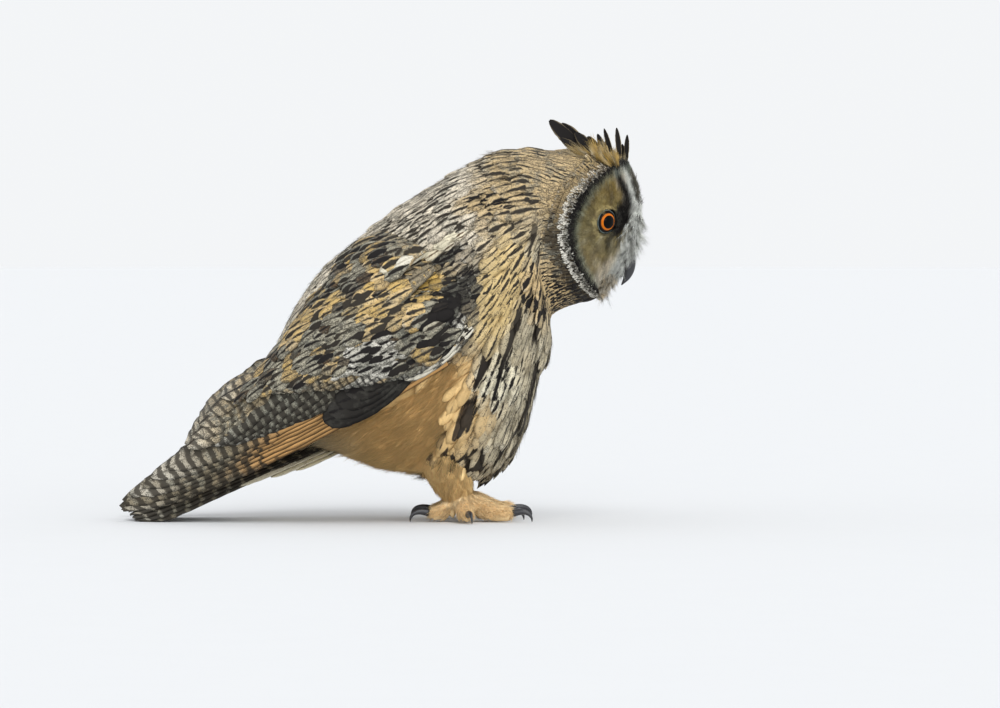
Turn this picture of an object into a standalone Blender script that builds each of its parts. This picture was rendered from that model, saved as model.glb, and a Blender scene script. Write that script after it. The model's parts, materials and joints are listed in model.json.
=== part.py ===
"""Long-eared owl, life size: a still figure that stands on its toes and the tip of its tail.

The owl faces +X and its right side is at -Y. The floor is z = 0. Lengths are in
metres, and the tables of sizes are in millimetres.
"""

import collections
import math
import random

import bmesh
import bpy
from mathutils import Vector

MM = 0.001
GAP = 0.3 * MM
SLIVER = 0.0005 * MM

# Driving sizes of the body, in millimetres. A station is one slice from the back line to
# the belly line: back x, back z, belly x, belly z, half width.
BODY_STATIONS = (
    (110.0, 208.0, 118.0, 132.0, 34.0),
    (94.2, 212.5, 112.5, 119.3, 40.0),
    (72.5, 211.5, 99.9, 107.5, 44.0),
    (49.7, 203.5, 93.1, 95.0, 49.0),
    (26.8, 190.5, 88.5, 80.5, 53.0),
    (5.1, 176.5, 84.5, 65.5, 54.0),
    (-13.1, 162.0, 77.5, 47.0, 53.0),
    (-28.5, 149.5, 66.0, 32.0, 52.0),
    (-40.5, 136.0, 44.0, 26.5, 50.0),
    (-51.5, 119.0, 22.0, 26.5, 46.0),
    (-60.5, 99.0, 1.0, 30.0, 40.0),
    (-66.0, 79.0, -18.0, 37.0, 29.0),
)
# How square a slice is, at the head end and at the tail end: 2 is an ellipse.
BODY_SQUARENESS = (2.0, 2.7)
BODY_RINGS = 22
BODY_SIDES = 20
BODY_FRONT_POLE = (118.0, 168.0)
BODY_REAR_POLE = (-61.0, 50.0)

# The planes that part the head from the neck and the neck from the torso.
NAPE_POINT = Vector((109.0, 0.0, 168.7)) * MM
NAPE_NORMAL = Vector((0.977, 0.0, 0.215)).normalized()
SHOULDER_POINT = Vector((71.4, 0.0, 149.6)) * MM
SHOULDER_NORMAL = Vector((0.93, 0.0, 0.37)).normalized()

# Head: where it is, how it is turned, and the form of the facial disc.
HEAD_CENTRE = Vector((119.3, 0.0, 167.9)) * MM
HEAD_PITCH = math.radians(10.0)
HEAD_YAW = math.radians(10.0)
HEAD_SIDES = 32
DISC_RADIUS = 38.5
DISC_RIM_DEPTH = 3.0
DISC_RIM_SWEEP = 13.0
DISC_HOLLOW = 4.0
FACE_FRONT = 27.5
FACE_CURVE = 0.008

EYE_RADIUS = 8.5
EYE_PLACE = (7.8, 17.3, 4.6)
EYE_TURN = math.radians(32.0)
LID_PLANE = 5.1
LID_RADIUS = 6.8
LID_THICKNESS = 1.2

# Bill: forward and up from the head's centre, and radius.
BILL_UPPER = (
    (16.0, -7.0, 5.6), (21.5, -11.0, 5.4), (24.2, -16.0, 4.6), (25.3, -21.0, 3.3),
    (24.8, -25.5, 2.0), (23.0, -29.5, 0.4),
)
BILL_LOWER = ((14.0, -13.0, 4.6), (18.5, -18.0, 3.8), (20.6, -22.5, 2.6), (20.8, -26.0, 1.0))
NOSTRIL_PLACE = (23.0, 4.9, -12.5)
NOSTRIL_RADIUS = 1.1

# Folded wing: its flat pattern has a along the wing towards the tip and b across it
# towards the back, both in millimetres from the wrist.
WRIST = Vector((54.2, 0.0, 115.3)) * MM
WING_SLOPE = math.radians(26.0)
WING_HALF_WIDTHS = (
    (-30.0, 46.0), (-15.0, 53.0), (0.0, 58.0), (30.0, 62.0), (60.0, 62.0), (90.0, 60.0),
    (120.0, 55.0), (150.0, 48.0), (180.0, 41.0), (210.0, 36.0), (240.0, 33.0),
)
WING_BACK_LINE = (
    (-30.0, 81.0), (-8.0, 80.0), (12.0, 77.0), (33.0, 73.5), (54.0, 69.5), (72.0, 63.0),
    (88.0, 54.0), (103.0, 44.5), (120.0, 34.0), (140.0, 27.0), (160.0, 21.0),
    (180.0, 17.0), (210.0, 14.0), (240.0, 12.0),
)
WING_UNDER_REACH = 70.0
WING_CORE_CENTRE = (36.0, 23.0, -4.5)
WING_CORE_SIZE = (63.0, 38.0, 6.0)
VANE_THICKNESS = 0.6

# One row of feathers: count, root and tip of the first and of the last, sideways swell of
# the row of tips, widths of the first and last, height over the wing's surface at the
# root and at the tip, rise from one feather to the next, and how far the lower edge of
# each stands out over its upper edge.
FeatherRow = collections.namedtuple("FeatherRow", "count roots tips swell widths heights rise tilt")
PRIMARIES = FeatherRow(
    6, ((25.0, -8.0), (38.0, 2.0)), ((227.0, -6.5), (200.0, 1.5)), 1.5, (19, 19), (-7.0, -7.0), 1.0, 0.4
)
SECONDARIES = FeatherRow(
    5, ((33.0, -2.0), (70.0, 27.0)), ((104.0, -2.0), (168.0, 2.0)), -4.5, (22, 20), (-4.5, -1.0), 0.75, 2.2
)
TERTIALS = FeatherRow(
    3, ((76.0, 28.0), (84.0, 36.0)), ((179.0, 4.5), (160.0, 14.0)), 1.0, (18, 17), (-4.0, 2.6), 0.9, 1.0
)
PRIMARY_COVERTS = FeatherRow(
    2, ((32.0, -6.0), (38.0, 0.0)), ((97.0, -7.0), (77.0, -2.0)), 0.0, (13, 12), (-4.0, 0.9), 0.8, 1.0
)
ALULA = FeatherRow(
    2, ((4.0, -3.0), (8.0, 1.0)), ((51.0, -12.0), (43.0, -8.5)), 0.0, (8, 7), (-3.0, 1.6), 0.9, 0.4
)
GREATER_COVERTS = FeatherRow(
    5, ((18.0, 0.0), (76.0, 34.0)), ((54.0, -7.0), (146.0, 17.0)), -2.0, (21, 21), (-4.5, 3.4), 0.6, 2.2
)
MEDIAN_COVERTS = FeatherRow(
    3, ((4.0, 8.0), (58.0, 38.0)), ((34.0, 0.0), (108.0, 17.0)), 0.0, (24, 24), (-4.5, 5.6), 0.4, 2.2
)
SCAPULARS = FeatherRow(
    4, ((8.0, 36.0), (18.0, 54.0)), ((64.0, 18.0), (118.0, 26.0)), 3.0, (22, 20), (-4.5, 7.2), 0.5, 2.2
)
WING_ROWS = (
    PRIMARIES, SECONDARIES, TERTIALS, PRIMARY_COVERTS, ALULA, GREATER_COVERTS, MEDIAN_COVERTS, SCAPULARS,
)

# Tail: a runs from its root to its tip, b to the owl's left, in millimetres.
TAIL_ROOT = Vector((-22.0, 0.0, 47.5)) * MM
TAIL_SLOPE = math.radians(19.0)
TAIL_ARCH = (4.0, 9.5)
TAIL_LENGTH = 131.0
TAIL_HALF_WIDTH = 26.0
TAIL_PAIRS = 6
TAIL_TOP_LAYER = 2.8
TAIL_LAYER = 0.95
TailCoverts = collections.namedtuple("TailCoverts", "count spacing reach width root_level level")
TAIL_COVERTS = (TailCoverts(3, 9.0, 50.0, 15.0, 0.0, 3.8), TailCoverts(4, 8.0, 68.0, 14.0, -3.0, -6.6))

# Ear tufts: distance from the head's middle plane, spread, backward curl and width.
TUFT_SIDE = 13.0
TUFT_SPREAD = 0.12
TUFT_CURL = 0.002
TUFT_VANE_WIDTH = 6.5
TUFT_TWISTS = (20.0, -25.0, 45.0, -40.0, 20.0)
# Forward places of the first and last root, lengths, and leans back in degrees.
Tuft = collections.namedtuple("Tuft", "roots lengths leans")
TUFT_LAID_BACK = Tuft((-6.0, 6.0), (31.0, 28.0, 25.0, 20.0, 16.0), (58.0, 40.0))
TUFT_UPRIGHT = Tuft((1.5, 11.0), (17.5, 19.0, 20.0, 19.5, 17.0), (20.0, 10.0))

LEG_SIDE = 21.0
LEG_LINE = ((34.0, 66.0, 18.0), (34.0, 50.0, 19.0), (36.0, 36.0, 17.0), (39.5, 25.0, 13.0), (43.0, 15.0, 9.0))
ANKLE = (44.0, 12.5, 8.0)
# Toes: name, heading from straight ahead (outwards is positive), length, knuckle radius.
TOES = (
    ("inner", math.radians(-20.0), 27.0, 5.4),
    ("middle", math.radians(11.0), 30.0, 5.6),
    ("outer", math.radians(78.0), 22.0, 5.0),
    ("hind", math.radians(168.0), 17.0, 5.0),
)
CLAW_LENGTH = 12.5

PARTS = bpy.data.collections.new("long_eared_owl")
COLOURS = {
    "plumage_mottled": (0.33, 0.24, 0.14, 1.0),
    "plumage_flight": (0.16, 0.12, 0.08, 1.0),
    "plumage_buff": (0.66, 0.45, 0.24, 1.0),
    "plumage_face": (0.50, 0.38, 0.22, 1.0),
    "ear_dark": (0.06, 0.05, 0.04, 1.0),
    "iris": (0.90, 0.30, 0.03, 1.0),
    "horn_black": (0.03, 0.03, 0.035, 1.0),
}


def clear_scene():
    for old in list(bpy.data.objects):
        bpy.data.objects.remove(old, do_unlink=True)
    bpy.context.scene.collection.children.link(PARTS)


def material(name):
    """The Principled material of one finish, made once."""
    found = bpy.data.materials.get(name)
    if found:
        return found
    made = bpy.data.materials.new(name)
    made.use_nodes = True
    shader = made.node_tree.nodes["Principled BSDF"]
    shader.inputs["Base Color"].default_value = COLOURS[name]
    glossy = name in ("iris", "horn_black")
    shader.inputs["Roughness"].default_value = 0.2 if glossy else 0.85
    shader.inputs["Metallic"].default_value = 0.0
    return made


def read_table(table, x):
    """The value at x of a table of (x, value) pairs."""
    if x <= table[0][0]:
        return table[0][1]
    for (x0, y0), (x1, y1) in zip(table, table[1:]):
        if x <= x1:
            t = (x - x0) / (x1 - x0)
            return y0 + (y1 - y0) * t
    return table[-1][1]


def between(first, last, t):
    """The point at share t of the way between two tuples."""
    return tuple(p + (q - p) * t for p, q in zip(first, last))


def spline_row(rows, s):
    """Catmull-Rom reading of a table of equally spaced rows at the share s from 0 to 1."""
    place = s * (len(rows) - 1)
    i = min(int(place), len(rows) - 2)
    t = place - i
    p0, p1 = rows[max(i - 1, 0)], rows[i]
    p2, p3 = rows[i + 1], rows[min(i + 2, len(rows) - 1)]
    return tuple(
        (2 * b + (c - a) * t + (2 * a - 5 * b + 4 * c - d) * t * t + (3 * b - a - 3 * c + d) * t ** 3) / 2
        for a, b, c, d in zip(p0, p1, p2, p3)
    )


def new_object(name, mesh):
    made = bpy.data.objects.new(name, mesh)
    PARTS.objects.link(made)
    return made


def point_outwards(bm):
    """Turns the faces of one closed form so that they all face out."""
    bmesh.ops.recalc_face_normals(bm, faces=bm.faces)
    if bm.calc_volume(signed=True) < 0:
        bmesh.ops.reverse_faces(bm, faces=bm.faces)


def object_from_bmesh(name, bm):
    point_outwards(bm)
    mesh = bpy.data.meshes.new(name)
    bm.to_mesh(mesh)
    bm.free()
    return new_object(name, mesh)


def loft(name, rings, first_pole, last_pole):
    """A closed form through rings of points, with a pole at each end."""
    bm = bmesh.new()
    loops = [[bm.verts.new(p) for p in ring] for ring in rings]
    count = len(loops[0])
    for near, far in zip(loops, loops[1:]):
        for k in range(count):
            bm.faces.new((near[k], near[(k + 1) % count], far[(k + 1) % count], far[k]))
    for pole, loop in ((first_pole, loops[0]), (last_pole, loops[-1])):
        tip = bm.verts.new(pole)
        for k in range(count):
            bm.faces.new((tip, loop[k], loop[(k + 1) % count]))
    return object_from_bmesh(name, bm)


def taper(name, points, radii, segments=3):
    """A round tapered form along points in metres, with radii in millimetres."""
    curve = bpy.data.curves.new(name, "CURVE")
    curve.dimensions = "3D"
    curve.bevel_depth = MM
    curve.bevel_resolution = segments
    curve.use_fill_caps = True
    spline = curve.splines.new("POLY")
    spline.points.add(len(points) - 1)
    for place, point, radius in zip(spline.points, points, radii):
        place.co = (*point, 1.0)
        place.radius = radius
    guide = new_object(name + "_guide", curve)
    mesh = baked(guide)
    made = new_object(name, mesh)
    bpy.data.objects.remove(guide, do_unlink=True)
    bm = bmesh.new()
    bm.from_mesh(mesh)
    bmesh.ops.remove_doubles(bm, verts=bm.verts, dist=0.00001)
    point_outwards(bm)
    bm.to_mesh(mesh)
    bm.free()
    return made


def ball(name, centre, radius, segments=20, rings=12):
    """A sphere at a point in metres, with its radius in millimetres."""
    bm = bmesh.new()
    bmesh.ops.create_uvsphere(bm, u_segments=segments, v_segments=rings, radius=radius * MM)
    bmesh.ops.translate(bm, verts=bm.verts, vec=centre)
    return object_from_bmesh(name, bm)


def baked(obj):
    """The object's mesh with its modifiers, as the viewport shows it."""
    bpy.context.view_layer.update()
    graph = bpy.context.evaluated_depsgraph_get()
    return bpy.data.meshes.new_from_object(obj.evaluated_get(graph))


def apply_modifiers(obj):
    mesh = baked(obj)
    obj.modifiers.clear()
    obj.data = mesh


def keep_largest(obj):
    """Keeps the object's largest closed surface."""
    bm = bmesh.new()
    bm.from_mesh(obj.data)
    bmesh.ops.dissolve_degenerate(bm, edges=bm.edges, dist=SLIVER)
    bmesh.ops.triangulate(bm, faces=bm.faces)
    unseen = set(bm.faces)
    groups = []
    while unseen:
        front = [unseen.pop()]
        group = list(front)
        while front:
            for edge in front.pop().edges:
                if len(edge.link_faces) != 2:
                    continue
                for face in edge.link_faces:
                    if face in unseen:
                        unseen.remove(face)
                        group.append(face)
                        front.append(face)
        groups.append(group)
    groups.sort(key=enclosed_volume, reverse=True)
    for group in groups[1:]:
        bmesh.ops.delete(bm, geom=group, context="FACES")
    bm.to_mesh(obj.data)
    bm.free()


def enclosed_volume(faces):
    """The volume inside a closed set of faces, below zero where they face inwards."""
    total = 0.0
    for face in faces:
        corners = [vert.co for vert in face.verts]
        for p, q in zip(corners[1:], corners[2:]):
            total += corners[0].dot(p.cross(q)) / 6
    return total


def fuse(obj, pieces):
    """Joins closed pieces to the object in one union."""
    group = bpy.data.collections.new(obj.name + "_pieces")
    bpy.context.scene.collection.children.link(group)
    for piece in pieces:
        group.objects.link(piece)
        PARTS.objects.unlink(piece)
    union = obj.modifiers.new("fuse", "BOOLEAN")
    union.operation = "UNION"
    union.operand_type = "COLLECTION"
    union.collection = group
    union.solver = "MANIFOLD"
    apply_modifiers(obj)
    for piece in pieces:
        bpy.data.objects.remove(piece, do_unlink=True)
    bpy.data.collections.remove(group)
    keep_largest(obj)
    return obj


def cut(obj, cutter, operation="DIFFERENCE", remove=True):
    """Cuts the object with another, and removes the cutter unless it is needed again."""
    saw = obj.modifiers.new("cut", "BOOLEAN")
    saw.operation = operation
    saw.object = cutter
    saw.solver = "MANIFOLD"
    apply_modifiers(obj)
    if remove:
        bpy.data.objects.remove(cutter, do_unlink=True)
    keep_largest(obj)
    return obj


def grown(obj, distance=GAP):
    """A copy whose surface lies outside the object's by a little more than distance."""
    mesh = obj.data.copy()
    copy = new_object(obj.name + "_grown", mesh)
    bm = bmesh.new()
    bm.from_mesh(mesh)
    bm.normal_update()
    moves = [v.normal * distance * 1.25 for v in bm.verts]
    for vert, move in zip(bm.verts, moves):
        vert.co += move
    bm.to_mesh(mesh)
    bm.free()
    return copy


def half_space(name, point, normal, offset):
    """A large block that fills the side of a plane its normal points away from."""
    size = 0.6
    bm = bmesh.new()
    bmesh.ops.create_cube(bm, size=size)
    bmesh.ops.translate(bm, verts=bm.verts, vec=(0, 0, -size / 2 - offset))
    turn = normal.to_track_quat("Z", "Y").to_matrix()
    bmesh.ops.rotate(bm, verts=bm.verts, cent=(0, 0, 0), matrix=turn)
    bmesh.ops.translate(bm, verts=bm.verts, vec=point)
    return object_from_bmesh(name, bm)


def copy_of(obj, name):
    return new_object(name, obj.data.copy())


def finish(obj, finish_name, angle=50.0):
    """Names the finish and shades the round faces smooth."""
    obj.data.materials.clear()
    obj.data.materials.append(material(finish_name))
    obj.data.shade_smooth()
    obj.data.set_sharp_from_angle(angle=math.radians(angle))
    return obj


def body_ring(s, sides=BODY_SIDES):
    """The points of the body's slice at the share s from the head to the tail."""
    bx, bz, lx, lz, half = spline_row(BODY_STATIONS, s)
    middle = Vector((bx + lx, 0.0, bz + lz)) * (MM / 2)
    up = Vector((bx - lx, 0.0, bz - lz)) * (MM / 2)
    out = Vector((0.0, half * MM, 0.0))
    power = 2.0 / (BODY_SQUARENESS[0] + (BODY_SQUARENESS[1] - BODY_SQUARENESS[0]) * s)
    points = []
    for k in range(sides):
        angle = 2 * math.pi * k / sides
        c, d = math.cos(angle), math.sin(angle)
        c, d = math.copysign(abs(c) ** power, c), math.copysign(abs(d) ** power, d)
        points.append(middle + up * c + out * d)
    return points


def body_form():
    rings = [body_ring(i / (BODY_RINGS - 1)) for i in range(BODY_RINGS)]
    front = Vector((BODY_FRONT_POLE[0], 0.0, BODY_FRONT_POLE[1])) * MM
    rear = Vector((BODY_REAR_POLE[0], 0.0, BODY_REAR_POLE[1])) * MM
    return loft("whole", rings, front, rear)


def head_axes():
    """The head's forward, left and up directions."""
    cp, sp = math.cos(HEAD_PITCH), math.sin(HEAD_PITCH)
    cy, sy = math.cos(HEAD_YAW), math.sin(HEAD_YAW)
    forward = Vector((cy * cp, -sy * cp, -sp))
    left = Vector((sy, cy, 0.0))
    return forward, left, forward.cross(left)


def head_point(forward, left, up):
    """A point given in millimetres forward, left and up of the head's centre."""
    f, l, u = head_axes()
    return HEAD_CENTRE + (f * forward + l * left + u * up) * MM


def disc_edge(angle):
    """Radius of the facial disc and its depth at the rim, at an angle from the left."""
    s = math.sin(angle)
    narrow = 1.0 - 0.10 * max(0.0, -s) ** 2 * abs(math.cos(angle))
    return DISC_RADIUS * narrow + 1.0 * s * s, DISC_RIM_DEPTH + DISC_RIM_SWEEP * s * s


def face_depth(left, up, angle):
    """How far forward the face lies at a point of the disc."""
    radius, rim = disc_edge(angle)
    reach = math.sqrt(max(radius * radius - up * up, 1.0))
    t = min(abs(left) / reach, 1.0)
    middle = FACE_FRONT - FACE_CURVE * (up - 4.0) ** 2
    return rim + (middle - rim) * (1.0 - t) - DISC_HOLLOW * math.sin(math.pi * t)


def head_form():
    """The head: a facial disc in two shallow halves inside a raised ruff, and the skull."""
    inner = (0.14, 0.30, 0.46, 0.62, 0.78, 0.90)
    outer = ((0.97, -1.2), (1.03, 1.6), (1.09, -0.5), (1.13, -7.0))
    back = ((1.10, -16.0), (1.02, -27.0), (0.84, -37.0), (0.55, -44.0))
    angles = [2 * math.pi * (k + 0.5) / HEAD_SIDES for k in range(HEAD_SIDES)]
    rings = []
    for share in inner:
        ring = []
        for angle in angles:
            radius, _ = disc_edge(angle)
            left, up = radius * share * math.cos(angle), radius * share * math.sin(angle)
            ring.append(head_point(face_depth(left, up, angle), left, up))
        rings.append(ring)
    for share, step in outer:
        ring = []
        for angle in angles:
            radius, rim = disc_edge(angle)
            across = radius * share
            ring.append(head_point(rim + step, across * math.cos(angle), across * math.sin(angle)))
        rings.append(ring)
    for share, depth in back:
        ring = []
        for angle in angles:
            radius, _ = disc_edge(angle)
            across = radius * share
            ring.append(head_point(depth, across * math.cos(angle), across * math.sin(angle)))
        rings.append(ring)
    return loft("head_form", rings, head_point(FACE_FRONT - 0.1, 0, 0), head_point(-47.0, 0, 0))


def eye_centre(side):
    """Centre of an eyeball; side is -1 for the right eye and 1 for the left."""
    forward, out, up = EYE_PLACE
    return head_point(forward, side * out, up)


def eye_axis(side):
    f, l, _ = head_axes()
    return f * math.cos(EYE_TURN) + l * (side * math.sin(EYE_TURN))


def lid_ring(side):
    """The rim of the eyelids round one eye."""
    axis = eye_axis(side)
    bpy.ops.mesh.primitive_torus_add(
        major_radius=LID_RADIUS * MM, minor_radius=LID_THICKNESS * MM,
        major_segments=16, minor_segments=6,
        location=eye_centre(side) + axis * LID_PLANE * MM,
        rotation=axis.to_track_quat("Z", "Y").to_euler(),
    )
    ring = bpy.context.object
    ring.name = "lid"
    for group in list(ring.users_collection):
        group.objects.unlink(ring)
    bpy.context.view_layer.update()
    ring.data.transform(ring.matrix_world)
    ring.matrix_world.identity()
    PARTS.objects.link(ring)
    return ring


def wing_surface(side, a, b):
    """A point of the folded wing's outer surface, from its flat pattern."""
    along = Vector((-math.cos(WING_SLOPE), 0.0, -math.sin(WING_SLOPE)))
    across = Vector((-math.sin(WING_SLOPE), 0.0, math.cos(WING_SLOPE)))
    reach = read_table(WING_BACK_LINE, a) if b > 0 else WING_UNDER_REACH
    share = min(abs(b) / reach, 0.985)
    out = read_table(WING_HALF_WIDTHS, a) * math.sqrt(1.0 - share * share)
    return WRIST + (along * a + across * b) * MM + Vector((0.0, side * out * MM, 0.0))


def wing_point(side, a, b, height):
    """A point at a height over the folded wing's surface, in millimetres."""
    step = 2.0
    da = wing_surface(side, a + step, b) - wing_surface(side, a - step, b)
    db = wing_surface(side, a, b + step) - wing_surface(side, a, b - step)
    normal = da.cross(db).normalized()
    if normal.y * side < 0:
        normal.negate()
    return wing_surface(side, a, b) + normal * (height * MM)


VANE_PROFILE = ((0.0, 0.40), (0.34, 0.80), (0.70, 1.0), (0.92, 0.82), (1.0, 0.30))
VANE_RISE_SHARE = 0.34
TUFT_PROFILE = ((0.0, 0.8), (0.35, 1.0), (0.7, 0.75), (1.0, 0.12))


def vane(place, root, tip, width, heights, tilt=0.0, bow=0.0, profile=VANE_PROFILE):
    """One feather as a thin closed strip.

    place turns a point of the flat pattern and a height into a point in space. The strip
    rises from its root height to its tip height in its first third, its lower edge stands
    out over its upper one by tilt, and bow bends its line sideways.
    """
    bm = bmesh.new()
    ax, ay = tip[0] - root[0], tip[1] - root[1]
    length = math.hypot(ax, ay)
    side_x, side_y = -ay / length, ax / length
    loops = []
    for share, part in profile:
        bend = bow * math.sin(math.pi * share)
        x, y = root[0] + ax * share + side_x * bend, root[1] + ay * share + side_y * bend
        middle = heights[0] + (heights[1] - heights[0]) * min(share / VANE_RISE_SHARE, 1.0)
        half = width * part / 2
        loop = []
        for edge, face in ((-1, -1), (1, -1), (1, 1), (-1, 1)):
            height = middle - edge * tilt / 2 * part + face * VANE_THICKNESS / 2
            loop.append(bm.verts.new(place(x + side_x * half * edge, y + side_y * half * edge, height)))
        loops.append(loop)
    for near, far in zip(loops, loops[1:]):
        bm.faces.new((near[0], near[1], far[1]))
        bm.faces.new((near[0], far[1], far[0]))
        bm.faces.new((near[3], far[2], near[2]))
        bm.faces.new((near[3], far[3], far[2]))
        for k, m in ((1, 2), (3, 0)):
            bm.faces.new((near[k], near[m], far[m], far[k]))
    bm.faces.new(loops[0][::-1])
    bm.faces.new(loops[-1])
    return object_from_bmesh("vane", bm)


def feather_row(place, row, draw):
    """The vanes of one row of the wing."""
    made = []
    for i in range(row.count):
        t = i / (row.count - 1)
        root = between(*row.roots, t)
        tip = between(*row.tips, t)
        swell = row.swell * math.sin(math.pi * t)
        tip = (tip[0] + draw.uniform(-1.2, 1.2), tip[1] + swell)
        width = row.widths[0] + (row.widths[1] - row.widths[0]) * t
        low, high = row.heights
        made.append(vane(place, root, tip, width, (low, high + row.rise * i), row.tilt, -2.0))
    return made


def wing_core(place):
    """The flesh of the folded wing, a flattened ellipsoid bent over the body's side."""
    bm = bmesh.new()
    bmesh.ops.create_uvsphere(bm, u_segments=12, v_segments=6, radius=1.0)
    for vert in bm.verts:
        a = WING_CORE_CENTRE[0] + WING_CORE_SIZE[0] * vert.co.x
        b = WING_CORE_CENTRE[1] + WING_CORE_SIZE[1] * vert.co.y
        h = WING_CORE_CENTRE[2] + WING_CORE_SIZE[2] * vert.co.z
        vert.co = place(a, b, h)
    return object_from_bmesh("wing_core", bm)


def wing(name, side, body):
    def place(a, b, height):
        return wing_point(side, a, b, height)

    draw = random.Random(7 + side)
    pieces = []
    for row in WING_ROWS:
        pieces += feather_row(place, row, draw)
    made = fuse(wing_core(place), pieces)
    cut(made, grown(body))
    made.name = name
    return finish(made, "plumage_mottled", 30.0)


def tail_point(a, b, height):
    """A point of the arched tail from its flat pattern, in millimetres."""
    share = min(max(a / TAIL_LENGTH, 0.0), 1.0)
    arch = TAIL_ARCH[0] + (TAIL_ARCH[1] - TAIL_ARCH[0]) * share
    drop = arch * (b / TAIL_HALF_WIDTH) ** 2
    cosine, sine = math.cos(TAIL_SLOPE), math.sin(TAIL_SLOPE)
    lift = height - drop
    return TAIL_ROOT + Vector((-a * cosine - lift * sine, b, -a * sine + lift * cosine)) * MM


def tail(body):
    """Twelve tail feathers, the middle pair on top, with the coverts above and below."""
    bm = bmesh.new()
    bmesh.ops.create_uvsphere(bm, u_segments=16, v_segments=8, radius=1.0)
    for vert in bm.verts:
        vert.co = tail_point(4.0 + 30.0 * vert.co.x, 15.0 * vert.co.y, -1.0 + 8.0 * vert.co.z)
    core = object_from_bmesh("tail_core", bm)
    draw = random.Random(3)
    pieces = []
    for k in range(TAIL_PAIRS):
        for side in (-1, 1):
            root = (0.0, side * (1.2 + 1.3 * k))
            tip = (TAIL_LENGTH - 1.1 * k + draw.uniform(-1, 1), side * (5.5 + 3.1 * k))
            under = TAIL_LAYER * (k + (1 if k or side < 0 else 0))
            pieces.append(vane(tail_point, root, tip, 17.0, (0.0, TAIL_TOP_LAYER - under)))
    for covert in TAIL_COVERTS:
        for k in range(covert.count):
            b = (k - (covert.count - 1) / 2) * covert.spacing
            level = covert.level + math.copysign(TAIL_LAYER * (k % 2), covert.level)
            root = (-8.0, b * 0.5)
            tip = (covert.reach - abs(b), b)
            pieces.append(vane(tail_point, root, tip, covert.width, (covert.root_level, level)))
    made = fuse(core, pieces)
    cut(made, grown(body))
    cut_floor(made)
    made.name = "tail"
    return finish(made, "plumage_flight", 30.0)


def cut_floor(obj):
    """Trims what reaches below the floor, which leaves small flats at its level."""
    return cut(obj, half_space("below_floor", Vector((0, 0, 0)), Vector((0, 0, 1)), 0.0))


def leg(side):
    points = [Vector((x, side * LEG_SIDE, z)) * MM for x, z, _ in LEG_LINE]
    return taper("leg_form", points, [radius for _, _, radius in LEG_LINE], 4)


def toe_line(side, heading, length):
    """Points of a toe from the ankle to its end, in millimetres."""
    x0, z0, _ = ANKLE
    dx, dy = math.cos(heading), side * math.sin(heading)
    steps = ((0.0, z0), (0.32, 9.5), (0.66, 5.0), (1.0, 4.2))
    return [Vector((x0 + dx * length * s, side * LEG_SIDE + dy * length * s, z)) for s, z in steps]


def foot(side, word, leg_solid):
    """Ankle and four toes, with flat soles at the floor."""
    x0, z0, radius = ANKLE
    core = ball("ankle", Vector((x0, side * LEG_SIDE, z0)) * MM, radius, 16, 10)
    pieces = []
    for _, heading, length, knuckle in TOES:
        points = [p * MM for p in toe_line(side, heading, length)]
        pieces.append(taper("toe", points, (knuckle + 1.0, knuckle, knuckle - 0.2, knuckle - 0.9), 2))
    made = fuse(core, pieces)
    cut(made, grown(leg_solid))
    cut_floor(made)
    made.name = "foot_" + word
    return finish(made, "plumage_buff")


def claw(side, word, toe, foot_solid):
    name, heading, length, _ = toe
    end = toe_line(side, heading, length)[-1]
    dx, dy = math.cos(heading), side * math.sin(heading)
    points, radii = [], []
    for k in range(6):
        t = k / 5
        turn = math.radians(95.0) * t
        reach = 2.0 + CLAW_LENGTH * 0.82 * math.sin(turn)
        rise = 5.2 - CLAW_LENGTH * 0.36 * (1 - math.cos(turn)) + 1.6 * math.sin(math.pi * t)
        points.append(Vector((end.x + dx * reach, end.y + dy * reach, rise)) * MM)
        radii.append(2.1 * (1 - t) ** 0.8 + 0.25)
    made = taper("claw_form", points, radii, 1)
    cut(made, grown(foot_solid))
    made.name = f"claw_{word}_{name}"
    return finish(made, "horn_black")


def profile_line(stations):
    """Points and radii of a line of (forward, up, radius) in the head's middle plane."""
    points = [head_point(forward, 0.0, up) for forward, up, _ in stations]
    return points, [radius for _, _, radius in stations]


def bill(head):
    """Hooked upper and lower mandibles, parted by the line of the mouth."""
    grown_head = grown(head)
    upper = taper("bill_upper", *profile_line(BILL_UPPER))
    lower = taper("bill_lower", *profile_line(BILL_LOWER))
    cut(lower, grown(upper))
    cut(upper, grown_head, remove=False)
    cut(lower, grown_head)
    for side in (-1, 1):
        forward, out, up = NOSTRIL_PLACE
        cut(upper, ball("nostril", head_point(forward, side * out, up), NOSTRIL_RADIUS, 8, 6))
    finish(upper, "horn_black")
    finish(lower, "horn_black")


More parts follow.
